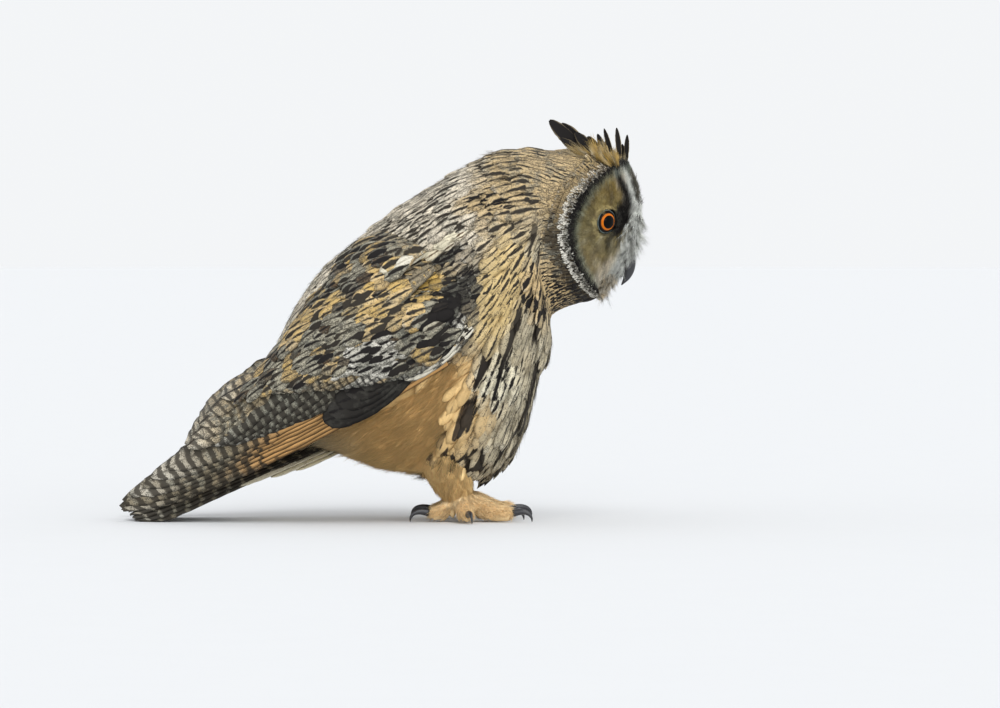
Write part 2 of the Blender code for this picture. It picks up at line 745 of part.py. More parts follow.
def ear_tuft(side, word, head):
    """Pointed feathers that stand in a bundle from the crown over one eye."""
    tuft = TUFT_LAID_BACK if side < 0 else TUFT_UPRIGHT
    bm = bmesh.new()
    bmesh.ops.create_uvsphere(bm, u_segments=10, v_segments=6, radius=1.0)
    for vert in bm.verts:
        forward = sum(tuft.roots) / 2 + 9.0 * vert.co.x
        vert.co = head_point(forward, side * TUFT_SIDE + 4.6 * vert.co.y, 38.0 + 6.0 * vert.co.z)
    base = object_from_bmesh("tuft_base", bm)
    pieces = []
    for k, length in enumerate(tuft.lengths):
        t = k / (len(tuft.lengths) - 1)
        forward = tuft.roots[0] + (tuft.roots[1] - tuft.roots[0]) * t
        lean = math.radians(tuft.leans[0] + (tuft.leans[1] - tuft.leans[0]) * t)
        twist = math.radians(TUFT_TWISTS[k])
        drift = (k - 2.0) * 0.6

        def place(a, b, h, forward=forward, lean=lean, twist=twist, drift=drift):
            along = b * math.cos(twist) - h * math.sin(twist)
            across = b * math.sin(twist) + h * math.cos(twist)
            back = a * math.sin(lean) + a * a * TUFT_CURL
            return head_point(
                forward - back + along * math.cos(lean),
                side * (TUFT_SIDE + drift + TUFT_SPREAD * a) + across,
                38.0 + a * math.cos(lean) + along * math.sin(lean),
            )

        pieces.append(vane(place, (0, 0), (length, 0), TUFT_VANE_WIDTH, (0, 0), profile=TUFT_PROFILE))
    made = fuse(base, pieces)
    cut(made, grown(head))
    made.name = "ear_tuft_" + word
    return finish(made, "ear_dark", 30.0)


def build():
    clear_scene()
    whole = body_form()
    head = head_form()
    fuse(whole, [head])
    fuse(whole, [lid_ring(-1), lid_ring(1)])
    for side in (-1, 1):
        cut(whole, ball("socket", eye_centre(side), EYE_RADIUS + 0.3, 20, 12))

    head_node = copy_of(whole, "head")
    cut(head_node, half_space("behind", NAPE_POINT, NAPE_NORMAL, -GAP / 2))
    neck = copy_of(whole, "neck")
    cut(neck, half_space("ahead", NAPE_POINT, -NAPE_NORMAL, -GAP / 2))
    cut(neck, half_space("behind", SHOULDER_POINT, SHOULDER_NORMAL, -GAP / 2))
    torso = copy_of(whole, "torso")
    cut(torso, half_space("ahead", SHOULDER_POINT, -SHOULDER_NORMAL, -GAP / 2))

    for side, word in ((-1, "right"), (1, "left")):
        wing("wing_" + word, side, whole)
        leg_solid = leg(side)
        cut(leg_solid, grown(whole))
        leg_solid.name = "leg_" + word
        finish(leg_solid, "plumage_buff")
        foot_solid = foot(side, word, leg_solid)
        for toe in TOES:
            claw(side, word, toe, foot_solid)
        ear_tuft(side, word, head_node)
        eye = ball("eye_" + word, eye_centre(side), EYE_RADIUS, 14, 8)
        finish(eye, "iris")
    tail(whole)
    bill(head_node)
    bpy.data.objects.remove(whole, do_unlink=True)
    finish(head_node, "plumage_face")
    finish(neck, "plumage_mottled")
    finish(torso, "plumage_mottled")


build()
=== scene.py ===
"""Long-eared owl, life size: its plumage, eyes, bill and feet round the solid model."""

import json
import math
import random

import bmesh
import bpy
import numpy as np
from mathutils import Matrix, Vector, noise
from mathutils.bvhtree import BVHTree

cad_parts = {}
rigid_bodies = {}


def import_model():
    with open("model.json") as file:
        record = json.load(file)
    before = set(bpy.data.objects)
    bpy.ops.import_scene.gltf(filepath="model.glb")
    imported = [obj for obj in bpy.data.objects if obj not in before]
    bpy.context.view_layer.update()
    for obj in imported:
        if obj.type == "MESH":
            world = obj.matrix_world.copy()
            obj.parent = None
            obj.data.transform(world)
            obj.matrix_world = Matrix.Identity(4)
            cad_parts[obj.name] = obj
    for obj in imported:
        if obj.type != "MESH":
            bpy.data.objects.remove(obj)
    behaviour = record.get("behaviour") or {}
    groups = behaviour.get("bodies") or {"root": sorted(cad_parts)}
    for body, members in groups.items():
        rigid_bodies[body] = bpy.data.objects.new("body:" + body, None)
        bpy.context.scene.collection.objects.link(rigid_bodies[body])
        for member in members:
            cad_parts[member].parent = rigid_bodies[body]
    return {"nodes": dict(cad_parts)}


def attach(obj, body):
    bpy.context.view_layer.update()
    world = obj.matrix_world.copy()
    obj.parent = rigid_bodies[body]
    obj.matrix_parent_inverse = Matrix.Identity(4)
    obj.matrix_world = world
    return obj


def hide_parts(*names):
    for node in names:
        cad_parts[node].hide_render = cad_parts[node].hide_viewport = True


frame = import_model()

bl_info = {
    "name": "Long-eared owl plumage",
    "version": (1, 0, 0),
    "blender": (4, 5, 0),
    "location": "3D View > Sidebar > Owl",
    "description": "Builds the skin, feathers, eyes, bill and feet of a standing owl",
    "category": "Object",
}

MM = 0.001
PHOTO_SIZE = (1000, 708)
MM_PER_PIXEL = 0.571
PHOTO_FLOOR_PIXEL = (383, 520)

VANE_PIECES = ("wing_right_feathers", "wing_left_feathers", "tail_feathers")
FLESH = ("head", "neck", "torso", "leg_right", "leg_left", "foot_right", "foot_left")
SIDES = ((-1, "right"), (1, "left"))

# Sizes of the solid model that the plumage follows, in millimetres.
HEAD_CENTRE = np.array((119.3, 0.0, 167.9))
HEAD_PITCH = math.radians(10.0)
HEAD_YAW = math.radians(10.0)
DISC_RADIUS = 39.0
DISC_RIM_DEPTH = -5.4
DISC_RIM_SWEEP = 21.0
DISC_RIM_TILT = -1.5
DISC_HOLLOW = 2.5
RUFF_SLOPE = 2.2
FACE_FRONT = 27.5
FACE_CURVE = 0.008
FACE_MIDDLE_UP = 4.0
SOCKET_OUT = 20.0
SOCKET_SPREAD = 120.0
SOCKET_FILL = 4.5
EYE_RADIUS = 8.5
EYE_PLACE = (6.6, 17.3, 4.6)
EYE_TURN = math.radians(41.0)
BILL_UPPER = (
    (14.0, -6.0, 5.6), (19.0, -8.6, 5.7), (22.6, -13.0, 5.0), (24.6, -17.5, 4.1),
    (25.3, -21.5, 3.1), (24.8, -25.3, 2.0), (23.6, -28.2, 1.0), (22.6, -30.2, 0.3),
)
BILL_LOWER = (
    (14.0, -13.0, 4.6), (17.0, -16.3, 4.3), (19.4, -20.0, 3.4), (20.6, -23.4, 2.3), (20.8, -26.0, 1.0),
)
WRIST = np.array((54.2, 0.0, 115.3))
WING_SLOPE = math.radians(26.0)
WING_ALONG = np.array((-math.cos(WING_SLOPE), 0.0, -math.sin(WING_SLOPE)))
WING_ACROSS = np.array((-math.sin(WING_SLOPE), 0.0, math.cos(WING_SLOPE)))
WING_HALF_WIDTHS = (
    (-30.0, 46.0), (-15.0, 53.0), (0.0, 58.0), (30.0, 62.0), (60.0, 62.0), (90.0, 60.0),
    (120.0, 55.0), (150.0, 48.0), (180.0, 41.0), (210.0, 36.0), (240.0, 33.0),
)
WING_BACK_LINE = (
    (-30.0, 81.0), (-8.0, 80.0), (12.0, 77.0), (33.0, 73.5), (54.0, 69.5), (72.0, 63.0),
    (88.0, 54.0), (103.0, 44.5), (120.0, 34.0), (140.0, 27.0), (160.0, 21.0),
    (180.0, 17.0), (210.0, 14.0), (240.0, 12.0),
)
WING_UNDER_REACH = 70.0
WING_ARM_CENTRE = (40.0, 26.0, -5.5)
WING_ARM_SIZE = (74.0, 42.0, 6.0)
WING_ARM_INNER_SHARE = 4.5
TAIL_ROOT = np.array((-22.0, 0.0, 47.5))
TAIL_SLOPE = math.radians(19.0)
TAIL_ARCH = (4.0, 9.5)
TAIL_LENGTH = 131.0
TAIL_HALF_WIDTH = 26.0
TAIL_CLEARANCE = 2.0
LEG_SIDE = 21.0
ANKLE = (44.0, 12.5)
TOES = (
    ("inner", math.radians(-20.0), 27.0),
    ("middle", math.radians(11.0), 30.0),
    ("outer", math.radians(78.0), 22.0),
    ("hind", math.radians(168.0), 17.0),
)
CLAW_LENGTH = 12.5
CLAW_CURVE = math.radians(95.0)
CLAW_RADIUS = 2.0
CLAW_ROOT_HEIGHT = 5.2
EYE_BULGE = 0.06

# The owl's middle line from the face to the rump, as (x, z).
SPINE = np.array((
    (150.0, 166.0), (119.0, 168.0), (92.0, 161.0), (58.0, 140.0), (20.0, 112.0), (-20.0, 84.0), (-62.0, 58.0),
))


def tone(red, green, blue):
    """A linear colour from a screen colour in shares of 255."""
    shares = [c / 255.0 for c in (red, green, blue)]
    return tuple(c / 12.92 if c < 0.0404 else ((c + 0.055) / 1.055) ** 2.4 for c in shares)


BLACK = tone(24, 21, 20)
DARK = tone(50, 45, 38)
BROWN = tone(98, 78, 56)
GREY = tone(146, 142, 126)
PALE = tone(222, 214, 188)
WHITE = tone(238, 234, 222)
FACE_WHITE = tone(252, 254, 248)
DISC_GREY = tone(170, 182, 168)
FROST_GREY = tone(176, 176, 160)
LEG_BUFF = tone(255, 222, 160)
FOOT_BUFF = tone(255, 224, 172)
BUFF = tone(208, 182, 136)
GOLD = tone(208, 172, 92)
TAWNY = tone(255, 214, 146)
ORANGE = tone(240, 186, 118)
OLIVE = tone(166, 158, 108)
VENT = tone(226, 218, 192)


class OwlCoat(bpy.types.PropertyGroup):
    """Sizes of the skin and of the body feathers."""

    voxel: bpy.props.FloatProperty(
        name="Skin detail", description="Size of the skin's faces", default=0.0015, unit="LENGTH"
    )
    depth: bpy.props.FloatProperty(
        name="Coat depth", description="How far the skin lies inside the plumage",
        default=0.0026, unit="LENGTH",
    )
    lift: bpy.props.FloatProperty(
        name="Feather lift", description="How far a body feather's tip is raised",
        default=math.radians(9.0), subtype="ANGLE",
    )
    fullness: bpy.props.FloatProperty(
        name="Fullness", description="Share of the full number of body feathers",
        default=1.0, subtype="FACTOR",
    )


class OwlColours(bpy.types.PropertyGroup):
    """Colours that a user may change."""

    iris: bpy.props.FloatVectorProperty(
        name="Iris", description="Colour of the iris", size=3, subtype="COLOR", default=(0.56, 0.125, 0.008)
    )
    horn: bpy.props.FloatVectorProperty(
        name="Horn", description="Colour of the bill and claws", size=3, subtype="COLOR",
        default=(0.012, 0.012, 0.014),
    )
    floor: bpy.props.FloatVectorProperty(
        name="Floor", description="Colour of the floor", size=3, subtype="COLOR",
        default=(0.735, 0.745, 0.757),
    )


class OwlStage(bpy.types.PropertyGroup):
    """Camera and light."""

    distance: bpy.props.FloatProperty(
        name="Camera distance", description="From the owl to the camera", default=3.5, unit="LENGTH"
    )
    elevation: bpy.props.FloatProperty(
        name="Camera height", description="Angle above the horizon",
        default=math.radians(1.5), subtype="ANGLE",
    )
    sky: bpy.props.FloatProperty(name="Sky", description="Strength of the even light", default=1.0)
    sun: bpy.props.FloatProperty(
        name="Key light", description="Strength of the light from above", default=0.95
    )
    fill: bpy.props.FloatProperty(
        name="Fill light", description="Strength of the light from the front", default=1.3
    )


class Value:
    """An output in a node tree, on which Python's arithmetic adds Math nodes."""

    def __init__(self, graph, socket):
        self.graph = graph
        self.socket = socket

    def __add__(self, other):
        return self.graph.math("ADD", self, other)

    def __sub__(self, other):
        return self.graph.math("SUBTRACT", self, other)

    def __rsub__(self, other):
        return self.graph.math("SUBTRACT", other, self)

    def __mul__(self, other):
        return self.graph.math("MULTIPLY", self, other)

    def __truediv__(self, other):
        return self.graph.math("DIVIDE", self, other)

    def __abs__(self):
        return self.graph.math("ABSOLUTE", self)

    __radd__ = __add__
    __rmul__ = __mul__


class Graph:
    """A node tree, and the one way in which nodes are added to it."""

    def __init__(self, tree):
        self.tree = tree

    def node(self, kind, settings=None, values=None, output=0):
        """A new node: its settings first, then the values or links of its sockets."""
        made = self.tree.nodes.new(kind)
        for key, value in (settings or {}).items():
            setattr(made, key, value)
        for name, value in (values or {}).items():
            if isinstance(value, Value):
                self.tree.links.new(value.socket, made.inputs[name])
            else:
                made.inputs[name].default_value = value
        return Value(self, made.outputs[output]) if len(made.outputs) else made

    def math(self, operation, *values):
        return self.node("ShaderNodeMath", {"operation": operation}, dict(enumerate(values)))

    def ease(self, value, low, high):
        """0 below low, 1 above high, and smooth between."""
        values = {"Value": value, "From Min": low, "From Max": high}
        return self.node("ShaderNodeMapRange", {"interpolation_type": "SMOOTHSTEP"}, values)

    def blend(self, share, first, second, kind="MIX"):
        """A mix of two colours, which are sockets 6 and 7 of the node."""
        first = (*first, 1.0) if isinstance(first, tuple) else first
        second = (*second, 1.0) if isinstance(second, tuple) else second
        settings = {"data_type": "RGBA", "blend_type": kind}
        return self.node("ShaderNodeMix", settings, {0: share, 6: first, 7: second}, 2)

    def attribute(self, name, output="Fac"):
        return self.node("ShaderNodeAttribute", {"attribute_name": name}, output=output)

    def parts(self, vector):
        """The three numbers of a vector."""
        split = self.node("ShaderNodeSeparateXYZ", values={0: vector})
        return [Value(self, socket) for socket in split.socket.node.outputs]

    def vector(self, x, y, z):
        return self.node("ShaderNodeCombineXYZ", values={0: x, 1: y, 2: z})

    def dot(self, vector, axis):
        return self.node("ShaderNodeVectorMath", {"operation": "DOT_PRODUCT"}, {0: vector, 1: axis}, "Value")

    def place(self):
        """The place on the object, in metres."""
        return self.node("ShaderNodeTexCoord", output="Object")

    def noise(self, vector, scale, detail=2.0):
        return self.node("ShaderNodeTexNoise", values={"Vector": vector, "Scale": scale, "Detail": detail})


BUMP_DISTANCE = 0.0003


def new_material(name):
    """A material's empty graph, and a function that ends it and gives the material."""
    material = bpy.data.materials.new(name)
    material.use_nodes = True
    material.node_tree.nodes.clear()
    graph = Graph(material.node_tree)

    def finish(colour, roughness=0.7, specular=0.3, height=None, relief=0.3, coat=0.0):
        values = {
            "Base Color": colour, "Roughness": roughness, "Specular IOR Level": specular, "Coat Weight": coat,
        }
        if height is not None:
            bump = {"Height": height, "Strength": relief, "Distance": BUMP_DISTANCE}
            values["Normal"] = graph.node("ShaderNodeBump", values=bump)
        shader = graph.node("ShaderNodeBsdfPrincipled", values=values)
        graph.node("ShaderNodeOutputMaterial", values={"Surface": shader})
        return material

    return graph, finish


def plumage_material():
    """Feathers: shaft streaks, bars (below 0, long streaks down the body), speckles and pale tips."""
    graph, finish = new_material("plumage")
    across, along, _ = graph.parts(graph.node("ShaderNodeUVMap", {"uv_map": "vane"}))
    side = abs(across * 2.0 - 1.0)
    chance = graph.attribute("chance")
    streak, bars, speckle = graph.parts(graph.attribute("pattern", "Vector"))
    rate = graph.attribute("rate")
    base = graph.attribute("base", "Color")
    mark = graph.attribute("mark", "Color")

    place = graph.place()
    fine = graph.noise(place, 1700.0, 3.0)
    cloud = graph.noise(place, 280.0, 2.0)
    patchy = graph.noise(place, 75.0, 2.0)
    wobble = (fine + cloud) * 0.5 - 0.5

    cluster = graph.ease(patchy, 0.40, 0.60) + 0.35
    reach = side + wobble * 0.9 - streak * cluster * (0.35 + chance * 1.3) * (1.2 - along * 0.45)
    streak_mask = (1.0 - graph.ease(reach, -0.05, 0.08)) * graph.ease(streak, 0.02, 0.08)
    wave = graph.math("SINE", (along * rate + chance * 2.0 + side * 0.4 + wobble) * (2.0 * math.pi))
    level = 1.25 - bars * 2.5
    bar_mask = graph.ease(wave - level, -0.25, 0.30) * graph.ease(bars, 0.02, 0.10) * 0.9
    grains = fine + (cloud - 0.5) * 0.5 + speckle * 0.13
    speckle_mask = graph.ease(grains, 0.58, 0.66) * graph.ease(speckle, 0.02, 0.15) * 0.75
    flow = [graph.dot(place, axis) for axis in ((0.95, 0.0, -0.30), (0.0, 1.0, 0.0), (0.03, 0.0, 0.09))]
    lines = graph.noise(graph.vector(*flow), 175.0, 1.0) + wobble * 0.12
    line_mask = graph.ease(lines, 0.515, 0.56) * graph.ease(0.0 - bars, 0.05, 0.6)
    dark = streak_mask
    for mask in (bar_mask, speckle_mask, line_mask):
        dark = graph.math("MAXIMUM", dark, mask)

    bright = 0.82 + chance * 0.34 + (fine - 0.5) * 0.6
    tinted = graph.blend(graph.ease(cloud + patchy, 0.95, 1.2) * speckle * 0.55, base, FROST_GREY)
    varied = graph.blend(1.0, tinted, graph.vector(bright, bright, bright), "MULTIPLY")
    pale_tip = graph.ease(along, 0.76, 1.0) * chance * graph.ease(speckle, 0.05, 0.4) * 0.5
    varied = graph.blend(pale_tip, varied, WHITE)
    colour = graph.blend(dark, varied, mark)
    barbs = graph.math("SINE", along * 230.0 - side * 60.0) * 0.4 + fine
    return finish(colour, 0.74, 0.2, barbs, 0.2)


def skin_material():
    """The skin under the plumage: its own colours, a shade darker."""
    graph, finish = new_material("skin")
    place = graph.place()
    grain = graph.noise(place, 600.0, 4.0)
    shade = 0.62 + grain * 0.4
    colour = graph.blend(1.0, graph.attribute("base", "Color"), graph.vector(shade, shade, shade), "MULTIPLY")
    return finish(colour, 0.9, 0.1, grain, 0.3)


def horn_material():
    """Black horn, worn a little paler in fine long lines."""
    graph, finish = new_material("horn")
    place = graph.place()
    lines = graph.noise(place, 380.0, 5.0)
    cloud = graph.noise(place, 90.0, 3.0)
    black = tuple(bpy.context.scene.owl_colours.horn)
    colour = graph.blend(graph.ease(cloud + lines * 0.4, 0.62, 0.95), black, tone(52, 50, 48))
    return finish(colour, 0.24 + lines * 0.2, 0.5, lines, 0.12, 0.2)


def lid_material():
    """The bare edges of the eyelids: black inside and blue-grey outside."""
    graph, finish = new_material("lid_dark")
    finish(graph.blend(graph.noise(graph.place(), 900.0), BLACK, tone(8, 8, 8)), 0.6, 0.1)
    graph, finish = new_material("lid")
    grain = graph.noise(graph.place(), 1500.0, 3.0)
    return finish(graph.blend(grain, tone(36, 46, 46), tone(120, 136, 132)), 0.6, 0.3, grain, 0.2)


def eye_material(side, word):
    """A black pupil, a fibrous orange iris and a dark rim, under a clear wet coat."""
    graph, finish = new_material("eye_" + word)
    centre, axis = eye_centre(side), eye_axis(side)
    place = graph.place()
    values = {0: place, 1: tuple(centre * MM)}
    offset = graph.node("ShaderNodeVectorMath", {"operation": "SUBTRACT"}, values)
    ahead = graph.dot(offset, tuple(axis))
    radius = graph.node("ShaderNodeVectorMath", {"operation": "LENGTH"}, {0: offset}, "Value")
    turn = graph.math("ARCCOSINE", ahead / radius)
    fibres = graph.noise(offset, 2600.0, 3.0)
    iris = tuple(bpy.context.scene.owl_colours.iris)
    deep = tuple(c * 0.35 for c in iris)
    ring = graph.blend(graph.ease(turn + (fibres - 0.5) * 0.14, 0.50, 0.66), iris, deep)
    ring = graph.blend(graph.ease(fibres, 0.45, 0.7) * 0.35, ring, tone(255, 176, 40))
    colour = graph.blend(graph.ease(turn, 0.435, 0.455), tone(5, 5, 5), ring)
    colour = graph.blend(graph.ease(turn, 0.59, 0.62), colour, BLACK)
    return finish(colour, 0.10, 0.05, None, 0.0, 0.06)


def smooth(x, low, high):
    """0 up to low, 1 from high on, and an even curve between."""
    t = np.clip((x - low) / (high - low), 0.0, 1.0)
    return t * t * (3.0 - 2.0 * t)


def lerp(first, second, share):
    """A mix of two numbers, colours or directions, by one share or many."""
    share = np.asarray(share)
    if share.ndim:
        share = share[..., None]
    return np.asarray(first) + (np.asarray(second) - np.asarray(first)) * share


def table_at(table, place):
    """The number that a table of (place, number) gives at a place."""
    return np.interp(place, *zip(*table))


def unit(v):
    """Vectors of length 1."""
    return v / np.maximum(np.linalg.norm(v, axis=-1, keepdims=True), 1e-9)


def head_axes():
    """The head's forward, left and up directions."""
    cp, sp = math.cos(HEAD_PITCH), math.sin(HEAD_PITCH)
    cy, sy = math.cos(HEAD_YAW), math.sin(HEAD_YAW)
    forward = np.array((cy * cp, -sy * cp, -sp))
    left = np.array((sy, cy, 0.0))
    return forward, left, np.cross(forward, left)


def head_point(forward, left, up):
    """Points given in millimetres forward, left and up of the head's centre."""
    f, l, u = head_axes()
    outer = np.multiply.outer
    return HEAD_CENTRE + outer(forward, f) + outer(left, l) + outer(up, u)


def head_places(points):
    """The forward, left and up distances of points from the head's centre."""
    return [(points - HEAD_CENTRE) @ axis for axis in head_axes()]


def rim_depth(left, up):
    """How far the disc's rim lies ahead of the head's centre, in the direction of a point."""
    s = up / np.maximum(np.hypot(left, up), 0.001)
    return DISC_RIM_DEPTH + DISC_RIM_SWEEP * s * s + DISC_RIM_TILT * s


def face_surface(left, up):
    """The face's depth at places left and up of its middle, and the ruff's slope outside it."""
    radius, rim = np.hypot(left, up), rim_depth(left, up)
    reach = np.sqrt(np.maximum(DISC_RADIUS ** 2 - up * up, 1.0))
    t = np.clip(np.abs(left) / reach, 0.0, 1.0)
    middle = FACE_FRONT - FACE_CURVE * (up - FACE_MIDDLE_UP) ** 2
    inside = rim + (middle - rim) * (1.0 - t) - DISC_HOLLOW * np.sin(math.pi * t)
    socket = ((np.abs(left) - SOCKET_OUT) ** 2 + (up - EYE_PLACE[2]) ** 2) / SOCKET_SPREAD
    inside = inside + SOCKET_FILL * np.exp(-socket)
    outside = rim - RUFF_SLOPE * (radius - DISC_RADIUS)
    return np.where(radius < DISC_RADIUS, inside, outside)


def eye_centre(side):
    """The middle of an eye, in millimetres."""
    forward, out, up = EYE_PLACE
    return head_point(forward, side * out, up)


def eye_axis(side):
    """The direction in which an eye looks."""
    f, l, _ = head_axes()
    return f * math.cos(EYE_TURN) + l * (side * math.sin(EYE_TURN))


def wing_surface(side, a, b):
    """Points of the folded wing's outer surface, from its flat pattern."""
    reach = np.where(b > 0, table_at(WING_BACK_LINE, a), WING_UNDER_REACH)
    share = np.minimum(np.abs(b) / reach, 0.985)
    out = table_at(WING_HALF_WIDTHS, a) * np.sqrt(1.0 - share * share)
    flat = WRIST + np.multiply.outer(a, WING_ALONG) + np.multiply.outer(b, WING_ACROSS)
    return flat + np.multiply.outer(side * out, (0.0, 1.0, 0.0))


def wing_point(side, a, b, height):
    """Points at a height over the folded wing's surface, in millimetres."""
    step = 2.0
    da = wing_surface(side, a + step, b) - wing_surface(side, a - step, b)
    db = wing_surface(side, a, b + step) - wing_surface(side, a, b - step)
    normal = unit(np.cross(da, db))
    normal = normal * np.where(normal[..., 1:2] * side < 0, -1.0, 1.0)
    return wing_surface(side, a, b) + normal * np.asarray(height)[..., None]


def tail_point(a, b, height):
    """Points of the arched tail from its flat pattern, in millimetres, bent so as to clear the floor."""
    share = np.clip(a / TAIL_LENGTH, 0.0, 1.0)
    arch = TAIL_ARCH[0] + (TAIL_ARCH[1] - TAIL_ARCH[0]) * share
    lift = height - arch * (b / TAIL_HALF_WIDTH) ** 2
    cosine, sine = math.cos(TAIL_SLOPE), math.sin(TAIL_SLOPE)
    points = TAIL_ROOT + np.stack((-a * cosine - lift * sine, b, -a * sine + lift * cosine), axis=-1)
    low = points[..., 2] < TAIL_CLEARANCE
    drop = points[..., 2][low] - TAIL_CLEARANCE
    points[..., 2][low] = TAIL_CLEARANCE * np.exp(drop / TAIL_CLEARANCE)
    return points


def link(name, data):
    """A new object in the scene."""
    made = bpy.data.objects.new(name, data)
    bpy.context.scene.collection.objects.link(made)
    return made


def mesh_of(obj):
    """The object's mesh with its modifiers."""
    bpy.context.view_layer.update()
    graph = bpy.context.evaluated_depsgraph_get()
    return bpy.data.meshes.new_from_object(obj.evaluated_get(graph))


def points_of(mesh):
    """A mesh's points in millimetres and their normals."""
    co = np.empty(len(mesh.vertices) * 3, np.float32)
    mesh.vertices.foreach_get("co", co)
    normals = np.empty(len(mesh.vertices) * 3, np.float32)
    mesh.vertex_normals.foreach_get("vector", normals)
    return co.reshape(-1, 3).astype(float) / MM, normals.reshape(-1, 3).astype(float)


def set_points(mesh, points):
    """Moves a mesh's points, given in millimetres."""
    mesh.vertices.foreach_set("co", (points * MM).astype(np.float32).ravel())
    mesh.update()


# What a mesh stores for one, two, three or four numbers at each point.
KINDS = {
    1: ("FLOAT", "value"), 2: ("FLOAT2", "vector"),
    3: ("FLOAT_VECTOR", "vector"), 4: ("FLOAT_COLOR", "color"),
}


def write_attribute(mesh, name, values):
    """Stores numbers or a colour for each point."""
    values = np.asarray(values, np.float32)
    width = 1 if values.ndim == 1 else values.shape[1]
    if name in ("base", "mark"):
        values = np.hstack((values, np.ones((len(values), 1), np.float32)))
        width = 4
    kind, field = KINDS[width]
    attribute = mesh.attributes.get(name) or mesh.attributes.new(name, kind, "POINT")
    attribute.data.foreach_set(field, values.ravel())


def read_attribute(mesh, name, width=3):
    """A stored vector or colour for each point."""
    values = np.empty(len(mesh.vertices) * width, np.float32)
    mesh.attributes[name].data.foreach_get(KINDS[width][1], values)
    return values.reshape(-1, width)


def write_uv(mesh, name, corners):
    """Stores a place on an unwrap for each face corner."""
    layer = mesh.uv_layers.get(name) or mesh.uv_layers.new(name=name)
    layer.data.foreach_set("uv", np.asarray(corners, np.float32).ravel())


def corner_points(mesh):
    """The point of each face corner."""
    index = np.empty(len(mesh.loops), np.int32)
    mesh.loops.foreach_get("vertex_index", index)
    return index


def slot_in(piece, name, *replaced):
    """Puts a finished piece on the owl's body and hides the solid parts that it replaces; the name of its
    finish is not used.
    """
    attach(piece, "root")
    if replaced:
        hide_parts(*replaced)


def nearest_distances(points, tree):
    """How far points lie from a mesh, in millimetres."""
    return np.array([tree.find_nearest(Vector(p * MM))[3] / MM for p in points])


def tree_of(*meshes):
    """A search tree of some closed meshes."""
    bm = bmesh.new()
    for mesh in meshes:
        bm.from_mesh(mesh)
    tree = BVHTree.FromBMesh(bm)
    bm.free()
    return tree


def mesh_from(bm, name, outwards=False):
    """A plain mesh from a working one, which is freed."""
    if outwards:
        bmesh.ops.recalc_face_normals(bm, faces=bm.faces)
    mesh = bpy.data.meshes.new(name)
    bm.to_mesh(mesh)
    bm.free()
    return mesh


def on_skin(point):
    """The skin's nearest place to a point, and the way out there."""
    found, normal, _, _ = Skin.tree.find_nearest(Vector(point * MM))
    return np.array(found) / MM, np.array(normal)


def arm_mesh(side):
    """The flesh of the folded wing, thick inwards so that it meets the body."""
    bm = bmesh.new()
    bmesh.ops.create_uvsphere(bm, u_segments=28, v_segments=14, radius=1.0)
    co = np.array([v.co for v in bm.verts])
    centre, size = np.array(WING_ARM_CENTRE), np.array(WING_ARM_SIZE)
    co[:, 2] = np.where(co[:, 2] < 0.0, -WING_ARM_INNER_SHARE * np.abs(co[:, 2]) ** 0.4, co[:, 2])
    a, b, h = (centre + size * co).T
    b = np.minimum(b, 0.95 * table_at(WING_BACK_LINE, a))
    for vert, place in zip(bm.verts, wing_point(side, a, b, h)):
        vert.co = place * MM
    return mesh_from(bm, "arm", outwards=True)


def grown_copy(mesh, distance):
    """A merged copy of a mesh, moved outwards by a distance in metres."""
    bm = bmesh.new()
    bm.from_mesh(mesh)
    bmesh.ops.remove_doubles(bm, verts=bm.verts, dist=0.00001)
    bm.normal_update()
    moves = [v.normal * distance for v in bm.verts]
    for vert, move in zip(bm.verts, moves):
        vert.co += move
    return mesh_from(bm, "grown")


def relax(mesh, points, rounds, share=0.5):
    """Moves each point towards the middle of its neighbours."""
    edges = np.empty(len(mesh.edges) * 2, np.int32)
    mesh.edges.foreach_get("vertices", edges)
    ends = edges.reshape(-1, 2)
    counts = np.bincount(ends.ravel(), minlength=len(points))
    counts = counts.reshape((-1,) + (1,) * (points.ndim - 1))
    for _ in range(rounds):
        total = np.zeros_like(points)
        np.add.at(total, ends[:, 0], points[ends[:, 1]])
        np.add.at(total, ends[:, 1], points[ends[:, 0]])
        points = points + (total / counts - points) * share
    return points


def spine_place(points):
    """The share of the way from face to rump at each point, and the direction there."""
    flat = points[:, (0, 2)]
    starts, steps = SPINE[:-1], np.diff(SPINE, axis=0)
    lengths = np.linalg.norm(steps, axis=1)
    ends = np.concatenate(([0.0], np.cumsum(lengths)))
    t = np.einsum("nkj,kj->nk", flat[:, None] - starts, steps) / lengths ** 2
    t = np.clip(t, 0.0, 1.0)
    gaps = np.linalg.norm(flat[:, None] - starts - t[..., None] * steps, axis=2)
    best = gaps.argmin(axis=1)
    rows = np.arange(len(points))
    travelled = ends[best] + t[rows, best] * lengths[best]
    middles = (ends[:-1] + ends[1:]) / 2
    headings = steps / lengths[:, None]
    hx = np.interp(travelled, middles, headings[:, 0])
    hz = np.interp(travelled, middles, headings[:, 1])
    centre = starts[best] + t[rows, best][:, None] * steps[best]
    return travelled / ends[-1], np.stack((hx, np.zeros_like(hx), hz), axis=1), centre


# Lower left corners of the unwrap's islands beside the body's own, which is the left part.
FACE_ISLAND = (0.66, 0.67)
LEG_ISLAND = (0.66, 0.34)
FOOT_ISLAND = (0.66, 0.01)
ISLAND_WIDTH = 0.32
LEG_TOP = 34.0
FOOT_TOP = 14.0


